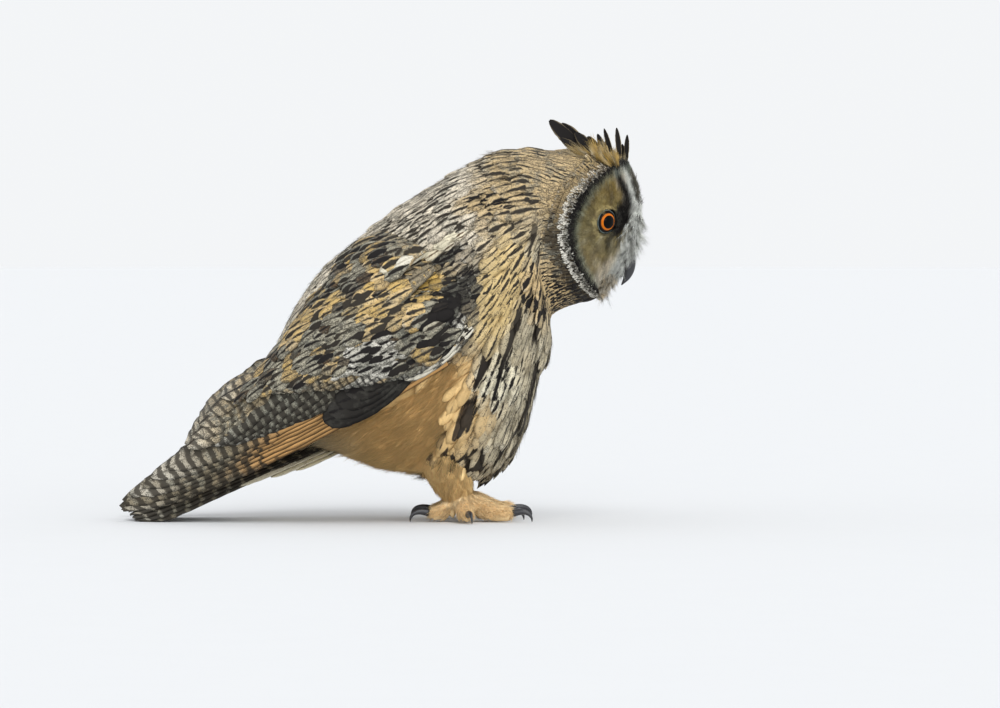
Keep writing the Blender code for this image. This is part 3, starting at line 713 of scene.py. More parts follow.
def unwrap(points):
    """The place of points on an unwrap of the skin: the body round its middle line, then
    the face seen along the head's own axis, the legs round their own axes and the feet."""
    x, y, z = points.T
    share, heading, centre = spine_place(points)
    up = -unit(np.stack((-heading[:, 2], heading[:, 0]), axis=1))
    away = ((points[:, (0, 2)] - centre) * up).sum(axis=1)
    turn = np.arctan2(y, away)
    place = np.stack((0.005 + 0.63 * (turn / (2 * math.pi) + 0.5), 0.01 + 0.98 * share), axis=1)
    f, l, u = head_places(points)
    on_face = (f > rim_depth(l, u) - 6.0) & (np.hypot(l, u) < 46.0)
    face = [corner + ISLAND_WIDTH * (c / 100.0 + 0.5) for corner, c in zip(FACE_ISLAND, (l, u))]
    low = (z < LEG_TOP) & (x > 10.0) & (np.abs(y) > 4.0)
    side = np.sign(y)
    around = np.arctan2(y - side * LEG_SIDE, x - 40.0)
    leg = (
        LEG_ISLAND[0] + ISLAND_WIDTH * (around / (2 * math.pi) + 0.5),
        LEG_ISLAND[1] + 0.16 * (side > 0) + 0.15 * np.clip((z - FOOT_TOP) / 22.0, 0.0, 1.0),
    )
    foot = (
        FOOT_ISLAND[0] + ISLAND_WIDTH * (x - 5.0) / 85.0,
        FOOT_ISLAND[1] + 0.15 * (side > 0) + 0.15 * np.abs(y) / 60.0,
    )
    for where, island in ((on_face, face), (low & (z >= FOOT_TOP), leg), (low & (z < FOOT_TOP), foot)):
        place[where] = np.stack(island, axis=1)[where]
    return np.clip(place, 0.0, 1.0)


class Patch:
    """A marking on the owl's sides: its middle, half sizes and turn, in the side view."""

    def __init__(self, x, z, along, across, turn):
        self.centre = (x, z)
        self.size = (along, across)
        self.turn = math.radians(turn)

    def cover(self, points, soft=0.5):
        """1 inside the marking, and 0 outside its soft edge."""
        dx, dz = points[:, 0] - self.centre[0], points[:, 2] - self.centre[1]
        c, s = math.cos(self.turn), math.sin(self.turn)
        p, q = (dx * c + dz * s) / self.size[0], (-dx * s + dz * c) / self.size[1]
        return 1.0 - smooth(np.hypot(p, q), 1.0 - soft / 2, 1.0 + soft / 2)


SHOULDER_BLACK = Patch(43.0, 154.5, 17.0, 4.6, 28.0)
WRIST_BLACK = Patch(48.5, 132.5, 23.0, 10.0, 56.0)
GOLD_SHOULDER = Patch(72.0, 138.0, 11.0, 30.0, -14.0)
PALE_LINE = Patch(35.0, 159.5, 27.0, 2.8, 26.0)
GOLD_STRIPE = Patch(-32.0, 119.0, 24.0, 5.0, 42.0)
GOLD_FIELD = Patch(18.0, 134.0, 30.0, 20.0, 30.0)
WHITE_SPOTS = Patch(-2.0, 97.0, 24.0, 12.0, 28.0)
NAPE_DARK = Patch(68.0, 186.0, 17.0, 6.0, 4.0)
NECK_DARK = Patch(86.0, 140.0, 8.0, 20.0, 30.0)
BREAST_DARK = Patch(72.0, 92.0, 12.0, 14.0, 0.0)


# Half the width of the band in which the back's plumage turns to that of the under side.
UNDER_EDGE = 0.35


class Look:
    """What grows at each point: colours, pattern, size, lift, and the rate of its bars."""

    def __init__(self, count):
        self.base = np.tile(BUFF, (count, 1)).astype(float)
        self.mark = np.tile(DARK, (count, 1)).astype(float)
        self.pattern = np.tile((0.3, 0.0, 0.2), (count, 1)).astype(float)
        self.size = np.tile((15.0, 9.0), (count, 1)).astype(float)
        self.lift = np.full(count, 1.0)
        self.rate = np.full(count, 3.0)

    def paint(self, cover, base=None, mark=None, pattern=None, size=None, lift=None, rate=None):
        """Lays new values over the old ones by a cover from 0 to 1."""
        for name, value in (("base", base), ("mark", mark), ("pattern", pattern), ("size", size)):
            if value is not None:
                setattr(self, name, lerp(getattr(self, name), np.array(value, float), cover))
        for name, value in (("lift", lift), ("rate", rate)):
            if value is not None:
                setattr(self, name, getattr(self, name) + (value - getattr(self, name)) * cover)

    def store(self, mesh):
        """Writes the look to the mesh's points."""
        for name in ("base", "mark", "pattern", "rate", "lift"):
            write_attribute(mesh, name, getattr(self, name))
        write_attribute(mesh, "size", self.size * MM)


def under_side(normals):
    """Above 0 on the breast, belly and flanks, and below 0 on the back."""
    return normals[:, 0] * 0.5 - normals[:, 2] * 0.8


def body_look(points, normals, zones):
    """The plumage of the head, neck, body and legs."""
    look = Look(len(points))
    x, _, z = points.T
    under = smooth(under_side(normals), -UNDER_EDGE, UNDER_EDGE)
    nape = smooth(x, 56.0, 78.0) * (1.0 - under)
    breast = smooth(x - (z - 100.0) * 0.25, 36.0, 56.0) * under
    flank = smooth(under_side(normals), -0.75, -0.25)
    belly = (1.0 - smooth(x - (z - 60.0) * 0.35, 34.0, 56.0)) * smooth(118.0 - z, 0.0, 22.0) * flank
    vent = (1.0 - smooth(x, -36.0, 6.0)) * smooth(66.0 - z, 0.0, 20.0) * under
    mantle = (1.0 - under) * (1.0 - nape)
    look.paint(mantle, lerp(BUFF, WHITE, 0.6), DARK, (0.22, 0.0, 0.7), (15.0, 8.5), 0.9)
    look.paint(nape, lerp(BUFF, GREY, 0.15), DARK, (0.25, 0.0, 0.75), (18.0, 10.0), 0.9)
    look.paint(breast, lerp(PALE, BUFF, 0.3) * 0.72, DARK, (0.07, -0.8, 0.25), (22.0, 9.5), 1.0)
    warm = breast * (1.0 - smooth(x - (z - 60.0) * 0.5, 54.0, 72.0)) * smooth(112.0 - z, 0.0, 24.0)
    look.paint(warm, lerp(TAWNY, BUFF, 0.4) * 0.68, DARK, (0.02, -0.9, 0.1))
    look.paint(breast * smooth(z, 104.0, 132.0), size=(13.0, 7.0), lift=0.6)
    crease = smooth(x, 94.0, 106.0) * smooth(z, 92.0, 104.0)
    look.paint(crease, lerp(BUFF, DARK, 0.25), BLACK, (0.3, 0.0, 0.4), (7.0, 4.5), 0.3)
    look.paint(belly, np.array(TAWNY) * 0.84, BROWN, (0.02, 0.0, 0.0), (17.0, 6.0), 1.1)
    look.paint(vent, lerp(VENT, TAWNY, 0.25), BROWN, (0.06, 0.0, 0.0), (27.0, 8.0), 1.2)
    look.paint(NAPE_DARK.cover(points, 0.9), BUFF, BLACK, (0.55, 0.0, 0.3))
    look.paint(NECK_DARK.cover(points, 0.9), BUFF, BLACK, (0.5, 0.1, 0.3))
    look.paint(BREAST_DARK.cover(points, 0.9), PALE, BLACK, (0.22, -1.0, 0.3))
    look.paint(zones["leg"], LEG_BUFF, BROWN, (0.0, 0.0, 0.0), (10.0, 4.0), 1.1)
    look.paint(zones["foot"], FOOT_BUFF, BROWN, (0.0, 0.0, 0.0), (5.4, 2.2), 1.9)
    wing_look(look, points, zones["wing"])
    side = outer_side(points, normals)
    look.paint(side * GOLD_FIELD.cover(points, 1.0), GOLD, DARK, (0.26, 0.0, 0.30), (12.0, 7.5))
    look.paint(side * GOLD_SHOULDER.cover(points, 0.8), lerp(GOLD, PALE, 0.3), DARK, (0.12, 0.0, 0.15))
    look.paint(side * PALE_LINE.cover(points, 0.5), PALE, BROWN, (0.05, 0.0, 0.1), (12.0, 6.0))
    for patch in (SHOULDER_BLACK, WRIST_BLACK):
        look.paint(side * patch.cover(points, 0.7), lerp(BLACK, GREY, 0.16), BLACK, (0.3, 0.0, 0.5),
                   (12.0, 7.0))
    head_look(look, points, zones["head"])
    return look


def wing_look(look, points, cover):
    """The small coverts of the folded wing, with its gold and white patches."""
    look.paint(cover, lerp(BROWN, GREY, 0.6), DARK, (0.30, 0.3, 0.85), (12.5, 8.0), 0.8, 2.6)
    look.paint(cover * GOLD_STRIPE.cover(points, 0.5), GOLD, BROWN, (0.06, 0.0, 0.2))
    look.paint(cover * WHITE_SPOTS.cover(points, 1.0), lerp(GREY, WHITE, 0.5), DARK, (0.32, 0.4, 0.6))


def head_look(look, points, cover):
    """Crown and cheeks outside the facial disc."""
    f, l, u = head_places(points)
    near = cover * (1.0 - smooth(-f, 14.0, 40.0))
    look.paint(cover, lerp(BUFF, GREY, 0.2), DARK, (0.22, 0.0, 0.75), (13.0, 7.4), 0.7)
    look.paint(near, lerp(BUFF, GREY, 0.15), DARK, (0.12, 0.0, 0.8), (9.5, 6.0), 0.6)
    crown = cover * smooth(u, 24.0, 36.0) * smooth(f, -12.0, 4.0)
    look.paint(crown, lerp(GOLD, PALE, 0.3), BLACK, (0.35, 0.0, 0.6), (7.0, 3.4), 0.7)
    chin = cover * smooth(-u, 22.0, 36.0) * smooth(np.hypot(l, u), 30.0, 40.0)
    look.paint(chin, BUFF, BLACK, (0.5, 0.0, 0.5), (6.0, 4.0), 0.2)


def rough(x, y, seed):
    """Smooth chance from about -1 to 1 over places in a plane."""
    return np.array([noise.noise(Vector((a, b, seed))) for a, b in zip(x, y)]) * 1.6


def face_colours(l, u, radius_share):
    """The colours of the facial disc at places left and up of its middle."""
    side = np.abs(l)
    dl, du = side - EYE_PLACE[1], u - EYE_PLACE[2]
    turn, away = np.arctan2(du, dl), np.hypot(dl, du)
    rays = rough(turn * 5.0 + np.sign(l) * 40.0, away * 0.06, 1.0)
    rays = rays + 0.6 * rough(turn * 13.0, away * 0.1, 2.0)
    cloud = rough(l * 0.22, u * 0.22, 3.0)
    warmth = 0.30 + 0.25 * smooth(np.abs(u), 4.0, 24.0)
    colour = 0.82 * lerp(OLIVE, lerp(BUFF, GOLD, smooth(u, 0.0, 25.0)), warmth)
    colour = lerp(colour, lerp(BROWN, DARK, 0.4), 0.55 * smooth(cloud + 0.5 * rays, -0.1, 0.7))
    colour = lerp(colour, PALE, 0.5 * smooth(-cloud + 0.4 * rays, 0.1, 0.9) * smooth(-u, -14.0, 14.0))
    edge = 3.8 + 0.45 * np.maximum(u - 4.0, 0.0) + 0.52 * np.maximum(-u - 1.0, 0.0)
    white = 1.0 - smooth(side - edge + 2.5 * rays, 0.0, 5.0)
    colour = lerp(colour, lerp(FACE_WHITE, BUFF, 0.55 * smooth(side, 7.0, 13.0)), white)
    black = 1.0 - smooth(np.hypot((side - 12.2) / 4.8, (u - 6.0) / 9.5) + 0.06 * rays, 0.80, 1.12)
    brow = 1.0 - smooth(np.hypot((side - 12.0 - (u - 22.0) * 0.35) / 3.0, (u - 22.0) / 12.0), 0.7, 1.2)
    corner = 1.0 - smooth(np.hypot((side - 15.5) / 2.0, (u + 6.0) / 7.0) + 0.2 * rays, 0.5, 1.1)
    colour = lerp(colour, BLACK, np.maximum.reduce((black, brow, 0.75 * corner)))
    middle = (1.0 - smooth(side - 0.3 * np.maximum(u - 14.0, 0.0), 1.2, 3.4)) * smooth(u, 10.0, 20.0)
    colour = lerp(colour, lerp(GREY, DARK, 0.7), middle)
    colour = lerp(colour, DISC_GREY, smooth(radius_share, 0.82, 0.87) * 0.6)
    return lerp(colour, BLACK, smooth(radius_share, 0.885, 0.905))


def face_place(points):
    """Distances forward, left and up of the head's centre, and the share of the disc's radius."""
    f, l, u = head_places(points)
    return f, l, u, np.hypot(l, u) / DISC_RADIUS


class Skin:
    """The skin's mesh, with what grows on it stored at its points."""

    object = None
    tree = None


# The parts of the solid are grown by this many metres, so that they meet.
SKIN_GROWTH = 0.0004
# Where the head begins, and the direction from the neck to it.
NECK_TOP = np.array((104.0, 0.0, 168.7))
NECK_AXIS = unit(np.array((0.977, 0.0, 0.215)))
# The most that is taken off ahead of the face, and the rounds of smoothing behind the disc.
FACE_SURPLUS = 14.0
RUFF_BAND_ROUNDS = 36
# The share of the coat's depth that is left out where the plumage is thin.
THIN_PLUMAGE = {"face": 0.62, "foot": 0.72, "leg": 0.4}


def round_skin(meshes, voxel):
    """One closed mesh round some others."""
    bm = bmesh.new()
    for mesh in meshes:
        bm.from_mesh(mesh)
    source = link("flesh", mesh_from(bm, "flesh"))
    remesh = source.modifiers.new("remesh", "REMESH")
    remesh.mode = "VOXEL"
    remesh.voxel_size = voxel
    mesh = mesh_of(source)
    bpy.data.objects.remove(source)
    points, _ = points_of(mesh)
    set_points(mesh, relax(mesh, points, 3))
    return mesh


def skin_zones(mesh, points, ahead, flesh, arms):
    """How far each point belongs to the legs, feet, wings and head, from 0 to 1."""
    trees = (tree_of(*flesh[:3]), tree_of(*flesh[3:5]), tree_of(*flesh[5:]), tree_of(*arms))
    to_trunk, to_leg, to_foot, to_wing = (nearest_distances(points, tree) for tree in trees)
    zones = {
        "leg": (to_leg < np.minimum(to_trunk, to_foot)) * 1.0,
        "foot": (to_foot < np.minimum(to_trunk, to_leg)) * 1.0,
        "wing": (to_wing < to_trunk - 0.2) * 1.0,
    }
    for name, values in zones.items():
        zones[name] = relax(mesh, values, 4)
    zones["head"] = smooth(ahead, -13.0, -3.0)
    return zones


def skin_look(points, normals, zones):
    """The plumage of the whole skin, with the face and painted shade on the strip behind its ruff."""
    f, l, u, share = face_place(points)
    before_rim = f - rim_depth(l, u)
    face = zones["face"]
    outside = zones["head"] * (1.0 - face)
    look = body_look(points, normals, zones)
    colours = face_colours(l, u, share)
    look.paint(face, colours, colours * 0.4, (0.0, 0.0, 0.3), (7.0, 2.0), 1.0)
    look.paint(outside * smooth(before_rim, -15.0, -8.0), size=(5.0, 3.4), lift=1.0)
    # Painted shade in the crease behind the ruff: the strip is darkened, and black towards its lower half.
    ruff_crease_shade = lerp(lerp(BUFF, DARK, 0.35), BLACK, 1.0 - smooth(u, -10.0, 16.0))
    look.paint(outside * smooth(before_rim, -14.0, -9.0) * 0.9, base=ruff_crease_shade)
    flicker = np.random.default_rng(8).uniform(0.72, 1.28, len(points))
    look.base = look.base * lerp(np.ones(3), np.ones(3) * flicker[:, None], face * (share < 0.88))
    return look


def skin_covers(mesh, points, normals, zones):
    """Where each coat grows, from 0 to 1."""
    f, l, u, share = face_place(points)
    clear = 1.0 - under_vanes(mesh, points, normals)
    body = clear
    for name in ("head", "leg", "foot", "wing"):
        body = body * (1.0 - zones[name])
    front = smooth(points[:, 0] - (points[:, 2] - 100.0) * 0.1, 40.0, 56.0)
    lower = smooth(under_side(normals), -0.75, -0.25) * smooth(118.0 - points[:, 2], 0.0, 22.0)
    near_ring = 1.0 - smooth(share, 1.08, 1.12) * smooth(u, -22.0, -12.0)
    under_ruff = smooth(f - rim_depth(l, u), -7.0, -5.5) * near_ring
    return {
        "cover_head": zones["head"] * (1.0 - zones["face"]) * (1.0 - under_ruff),
        "cover_face": zones["face"] * (1.0 - near_eyes(points, 7.4)) * (1.0 - near_bill(points)),
        "cover_front": body * front,
        "cover_back": body * (1.0 - front) * (1.0 - lower),
        "cover_belly": body * (1.0 - front) * lower,
        "cover_wing": clear * zones["wing"] * outer_side(points, normals, -0.6, -0.3),
        "cover_leg": zones["leg"],
        "cover_foot": zones["foot"] * smooth(points[:, 2], 1.5, 3.0),
    }


def make_skin(coat):
    """One closed skin round the flesh, inside the plumage by the coat's depth."""
    arms = [arm_mesh(side) for side, _ in SIDES]
    flesh = [grown_copy(frame["nodes"][name].data, SKIN_GROWTH) for name in FLESH]
    mesh = round_skin(flesh + arms, coat.voxel)
    points, _ = points_of(mesh)
    ahead = (points - NECK_TOP) @ NECK_AXIS
    zones = skin_zones(mesh, points, ahead, flesh, arms)

    # What stands ahead of the face is moved back to it.
    f, l, u, share = face_place(points)
    surplus = np.clip(f - face_surface(l, u), 0.0, FACE_SURPLUS) * smooth(ahead, -25.0, 1.0)
    set_points(mesh, relax(mesh, points - np.multiply.outer(surplus, head_axes()[0]), 3))
    points, normals = points_of(mesh)
    f, l, u, share = face_place(points)
    before_rim = f - rim_depth(l, u)
    zones["face"] = smooth(before_rim, -3.5, -0.5) * (1.0 - smooth(share, 1.0, 1.03)) * zones["head"]

    # The skin is set inwards, and smoothed behind the disc, where it may fold over.
    shallow = np.maximum.reduce([zones[name] * left_out for name, left_out in THIN_PLUMAGE.items()])
    depth = coat.depth / MM * (1.0 - shallow) * (1.0 - 0.25 * zones["head"])
    inset = points - normals * depth[:, None]
    band = (zones["head"] * smooth(share, 1.0, 1.06))[:, None]
    set_points(mesh, inset + (relax(mesh, inset, RUFF_BAND_ROUNDS) - inset) * band)
    mesh.shade_smooth()
    outs = points_of(mesh)[1]

    skin_look(points, normals, zones).store(mesh)
    carried = {"lie": skin_lie(points, outs, zones), "out": outs}
    carried.update(skin_covers(mesh, points, normals, zones))
    for name, values in carried.items():
        write_attribute(mesh, name, values)
    write_uv(mesh, "OFBake", unwrap(points)[corner_points(mesh)])
    Skin.object = link("skin", mesh)
    Skin.tree = tree_of(mesh)
    return Skin.object


# How far over the skin a ray starts that looks for a large feather, and its reach, in metres.
VANE_SEARCH = (0.0012, 0.014)


def under_vanes(mesh, points, normals):
    """1 where the skin lies under the wings' or the tail's large feathers."""
    tree = tree_of(*(bpy.data.objects[name].data for name in VANE_PIECES))
    gap, reach = VANE_SEARCH
    hidden = np.zeros(len(points))
    for k, (point, normal) in enumerate(zip(points * MM, normals)):
        if tree.ray_cast(Vector(point + normal * gap), Vector(normal), reach)[0] is not None:
            hidden[k] = 1.0
    x, _, z = (points - WRIST).T
    below = z * math.cos(WING_SLOPE) - x * math.sin(WING_SLOPE) < 0.0
    return np.maximum(hidden, smooth(relax(mesh, hidden, 16), 0.02, 0.12) * below)


def near_eyes(points, reach):
    """1 within reach of an eyeball's front."""
    middles = [eye_centre(side) + 4.0 * eye_axis(side) for side, _ in SIDES]
    gaps = [np.linalg.norm(points - middle, axis=1) for middle in middles]
    return 1.0 - smooth(np.minimum(*gaps), reach - 1.0, reach + 0.5)


def near_bill(points):
    """1 on the face where the bill stands out of it."""
    _, l, u = head_places(points)
    return 1.0 - smooth(np.hypot(l / 4.2, (u + 20.0) / 9.0), 0.8, 1.1)


def outer_side(points, normals, low=-0.1, high=0.2):
    """1 where the skin faces away from the owl's middle."""
    return smooth(normals[:, 1] * np.sign(points[:, 1]), low, high)


# The directions in which the feathers of the breast and of the legs hang.
BREAST_FALL = (-0.30, 0.0, -0.95)
LEG_FALL = (-0.05, 0.0, -1.0)


def skin_lie(points, normals, zones):
    """The direction in which feathers lie, along the skin."""
    _, lie, _ = spine_place(points)
    under = smooth(-normals[:, 2] * 0.6 + normals[:, 0] * 0.8, -0.2, 0.5)
    front = under * smooth(points[:, 0], 0.0, 60.0) * (1.0 - zones["head"])
    lie = lerp(lie, BREAST_FALL, front * 0.75)
    lie = lerp(lie, WING_ALONG, zones["wing"])
    lie = lerp(lie, LEG_FALL, zones["leg"])
    x, y, _ = points.T
    toe = np.stack((x - ANKLE[0], y - np.sign(y) * LEG_SIDE, np.full(len(points), -6.0)), axis=1)
    lie = lerp(lie, unit(toe), zones["foot"])
    _, l, u = head_places(points)
    forward, left, up = head_axes()
    back = -forward + 0.15 * up * np.sign(u)[:, None]
    lie = lerp(lie, back, zones["head"] * (1.0 - zones["face"]))
    eye = np.where(l > 0, EYE_PLACE[1], -EYE_PLACE[1]) * 0.62
    radial = np.multiply.outer(l - eye, left) + np.multiply.outer(u - 1.0, up)
    lie = lerp(lie, unit(radial), zones["face"])
    lie = lie - normals * (lie * normals).sum(axis=1)[:, None]
    return unit(lie)


# The outline of a small feather: shares of the length and of the width.
SMALL_PROFILE = ((0.0, 0.30), (0.25, 0.78), (0.5, 0.98), (0.72, 1.0), (0.88, 0.80), (1.0, 0.42))


def feather_shape(name, draw, columns=4, rows=5, ragged=0.10):
    """A small closed feather, 1 long and 1 wide: arched above, flat below, frayed at the tip."""
    bm = bmesh.new()
    layer = bm.loops.layers.uv.new("vane")
    grid, places = [], {}
    for r in range(rows + 1):
        v = (r / rows) ** 0.85
        half = float(table_at(SMALL_PROFILE, v)) / 2
        line = []
        for c in range(columns + 1):
            u = c / columns * 2.0 - 1.0
            fray = ragged * draw.uniform(-1.0, 0.35) if r == rows else 0.0
            split = ragged * draw.uniform(-0.5, 0.2) * abs(u) if r == rows - 1 else 0.0
            rise = 0.16 * half * (1.0 - u * u) - 0.10 * v * v
            vert = bm.verts.new((v + fray + split - 0.04 * u * u * (r == rows), half * u, rise))
            places[vert] = (c / columns, v)
            line.append(vert)
        grid.append(line)
    for near, far in zip(grid, grid[1:]):
        for c in range(columns):
            bm.faces.new((near[c], far[c], far[c + 1], near[c + 1]))
        bm.faces.new((near[0], near[columns], far[columns], far[0]))
    bm.faces.new([grid[0][c] for c in range(columns + 1)])
    bm.faces.new([grid[rows][c] for c in range(columns, -1, -1)])
    return shape_object(name, bm, layer, places)


def plume_shape(name, draw, strands=11, spread=0.5, reach=0.4, girth=0.03):
    """A small soft tuft, 1 long: thin tapered strands that part from one root."""
    bm = bmesh.new()
    layer = bm.loops.layers.uv.new("vane")
    places = {}
    for k in range(strands):
        side = k / (strands - 1) * 2.0 - 1.0
        start = Vector((draw.uniform(0.0, 0.22), side * spread * 0.35, draw.uniform(-0.01, 0.02)))
        length = draw.uniform(0.62, 1.0)
        end = Vector((length, side * reach + draw.uniform(-0.10, 0.10), draw.uniform(-0.12, 0.06)))
        offsets = ((0.0, -girth, 0.0), (0.0, girth, 0.0), (0.0, 0.0, girth * 0.8))
        ring = [bm.verts.new(start + Vector(offset)) for offset in offsets]
        tip = bm.verts.new(end)
        for vert in (*ring, tip):
            places[vert] = (0.5 + side * 0.4, float(vert is tip))
        for m in range(3):
            bm.faces.new((ring[m], ring[(m + 1) % 3], tip))
        bm.faces.new(ring[::-1])
    return shape_object(name, bm, layer, places)


def shape_object(name, bm, layer, places):
    """A feather shape, with each point's place on its vane."""
    bmesh.ops.recalc_face_normals(bm, faces=bm.faces)
    for face in bm.faces:
        for loop in face.loops:
            loop[layer].uv = places[loop.vert]
    return bpy.data.objects.new(name, mesh_from(bm, name))


# Shapes that the coats pick from: name, maker, number, and the maker's own settings.
SHAPES = (
    ("body_feathers", feather_shape, 4, {}),
    ("head_feathers", feather_shape, 3, {"rows": 4, "ragged": 0.16}),
    ("down_plumes", plume_shape, 4, {}),
    ("scales", feather_shape, 4, {"columns": 2, "rows": 3, "ragged": 0.2}),
    ("face_plumes", plume_shape, 4, {"strands": 9, "spread": 0.9, "girth": 0.02}),
)


def shape_collection(name, maker, number, settings):
    """A collection of feather shapes that a coat picks from."""
    made = bpy.data.collections.new(name)
    bpy.context.scene.collection.children.link(made)
    for k in range(number):
        made.objects.link(maker(f"{name}_{k}", random.Random(11 + k), **settings))
    return made


# More feathers than this for each square metre aren't set, whatever the spacing.
MOST_FEATHERS = 4.0e6


def coat_tree(scatter):
    """Geometry Nodes that set feathers on a skin, or on given points, along their lie."""
    tree = bpy.data.node_groups.new("plumage_coat", "GeometryNodeTree")
    sockets = (
        ("Geometry", "NodeSocketGeometry"), ("Shapes", "NodeSocketCollection"), ("Kinds", "NodeSocketInt"),
        ("Spacing", "NodeSocketFloat"), ("Cover", "NodeSocketString"), ("Seed", "NodeSocketInt"),
        ("Lift", "NodeSocketFloat"), ("Sway", "NodeSocketFloat"), ("Swell", "NodeSocketFloat"),
        ("Material", "NodeSocketMaterial"),
    )
    for name, kind in sockets:
        tree.interface.new_socket(name, in_out="INPUT", socket_type=kind)
    tree.interface.new_socket("Geometry", in_out="OUTPUT", socket_type="NodeSocketGeometry")
    graph = Graph(tree)
    given = graph.node("NodeGroupInput").socket.node.outputs

    def source(name):
        return Value(graph, given[name])

    def named(name, kind="FLOAT_VECTOR"):
        return graph.node("GeometryNodeInputNamedAttribute", {"data_type": kind}, {"Name": name})

    def chosen(low, high, salt):
        """A chance number for each feather. The node's sockets 2, 3 and 8 are for plain numbers."""
        values = {2: low, 3: high, 8: source("Seed") + salt}
        return graph.node("FunctionNodeRandomValue", {"data_type": "FLOAT"}, values, 1)

    if scatter:
        values = {
            "Mesh": source("Geometry"), "Distance Min": source("Spacing"), "Density Max": MOST_FEATHERS,
            "Density Factor": named(source("Cover"), "FLOAT"), "Seed": source("Seed"),
        }
        points = graph.node("GeometryNodeDistributePointsOnFaces", {"distribute_method": "POISSON"}, values)
    else:
        points = graph.node("GeometryNodeMeshToPoints", values={"Mesh": source("Geometry")})
    place = graph.node("GeometryNodeInputPosition")
    for name, kind, value in (("root", "FLOAT_VECTOR", place), ("chance", "FLOAT", chosen(0.0, 1.0, 1))):
        values = {"Geometry": points, "Name": name, "Value": value}
        points = graph.node("GeometryNodeStoreNamedAttribute", {"data_type": kind, "domain": "POINT"}, values)
    axes = {"Primary Axis": named("out"), "Secondary Axis": named("lie")}
    turn = graph.node("FunctionNodeAxesToRotation", {"primary_axis": "Z", "secondary_axis": "X"}, axes)
    pitch = source("Lift") * named("lift", "FLOAT") * chosen(-1.35, -0.65, 2)
    sway = source("Sway")
    angles = graph.vector(sway * chosen(-0.5, 0.5, 3), pitch, sway * chosen(-1.0, 1.0, 4))
    nod = graph.node("FunctionNodeEulerToRotation", values={0: angles})
    turn = graph.node("FunctionNodeRotateRotation", {"rotation_space": "LOCAL"}, {0: turn, 1: nod})
    long, wide, _ = graph.parts(named("size"))
    stretch = chosen(0.86, 1.14, 5) * source("Swell")
    scale = graph.vector(long * stretch, wide * stretch, long * stretch)
    values = {"Collection": source("Shapes"), "Separate Children": True, "Reset Children": True}
    shapes = graph.node("GeometryNodeCollectionInfo", {"transform_space": "ORIGINAL"}, values)
    # Sockets 4 and 5 of the same node are for whole numbers.
    values = {4: 0, 5: source("Kinds"), 8: source("Seed") + 6}
    pick = graph.node("FunctionNodeRandomValue", {"data_type": "INT"}, values, 2)
    values = {
        "Points": points, "Instance": shapes, "Pick Instance": True, "Instance Index": pick,
        "Rotation": turn, "Scale": scale,
    }
    placed = graph.node("GeometryNodeInstanceOnPoints", values=values)
    real = graph.node("GeometryNodeRealizeInstances", values={"Geometry": placed})
    values = {"Geometry": real, "Material": source("Material")}
    dressed = graph.node("GeometryNodeSetMaterial", values=values)
    graph.node("NodeGroupOutput", values={"Geometry": dressed})
    return tree


# The side of one feather's patch on the unwrap, and the feathers' least height over the floor
# in millimetres.
PATCH_SIZE = 0.003
FLOOR_GAP = 0.2


def grow(name, base_mesh, shapes, seed, spacing=1.0, cover="", swell=1.0, sway=0.12, lift=1.0):
    """A coat piece: feathers set over a skin, or on points where no cover is named."""
    coat = bpy.context.scene.owl_coat
    holder = link(name + "_base", base_mesh)
    tree = coat_tree(bool(cover))
    modifier = holder.modifiers.new("coat", "NODES")
    modifier.node_group = tree
    inputs = {
        "Shapes": shapes, "Kinds": len(shapes.objects) - 1,
        "Spacing": spacing * MM / math.sqrt(coat.fullness), "Cover": cover, "Seed": seed,
        "Lift": coat.lift * lift, "Sway": sway, "Swell": swell, "Material": bpy.data.materials["plumage"],
    }
    for item in tree.interface.items_tree:
        if item.item_type == "SOCKET" and item.in_out == "INPUT" and item.name in inputs:
            modifier[item.identifier] = inputs[item.name]
    mesh = mesh_of(holder)
    bpy.data.objects.remove(holder)
    bpy.data.node_groups.remove(tree)
    if not len(mesh.polygons):
        raise RuntimeError(f"{name} grew no feathers")
    points = points_of(mesh)[0]
    points[:, 2] = np.maximum(points[:, 2], FLOOR_GAP)
    set_points(mesh, points)
    corners = corner_points(mesh)
    roots = unwrap(read_attribute(mesh, "root").astype(float) / MM)
    vane = np.empty(len(mesh.loops) * 2, np.float32)
    mesh.attributes["vane"].data.foreach_get("vector", vane)
    write_uv(mesh, "OFBake", roots[corners] + PATCH_SIZE * (vane.reshape(-1, 2) - 0.5))
    for key in [attribute.name for attribute in mesh.attributes]:
        if key.startswith("cover_") or key in ("lie", "out", "size", "lift", "root"):
            mesh.attributes.remove(mesh.attributes[key])
    mesh.shade_smooth()
    return link(name, mesh)


# Outlines of large feathers: shares of the length and of the width.
VANE_PROFILE = (
    (0.0, 0.35), (0.2, 0.72), (0.45, 0.94), (0.70, 1.0), (0.85, 0.90), (0.94, 0.66), (1.0, 0.22),
)
POINTED_PROFILE = ((0.0, 0.5), (0.3, 0.92), (0.58, 1.0), (0.80, 0.80), (0.94, 0.46), (1.0, 0.16))


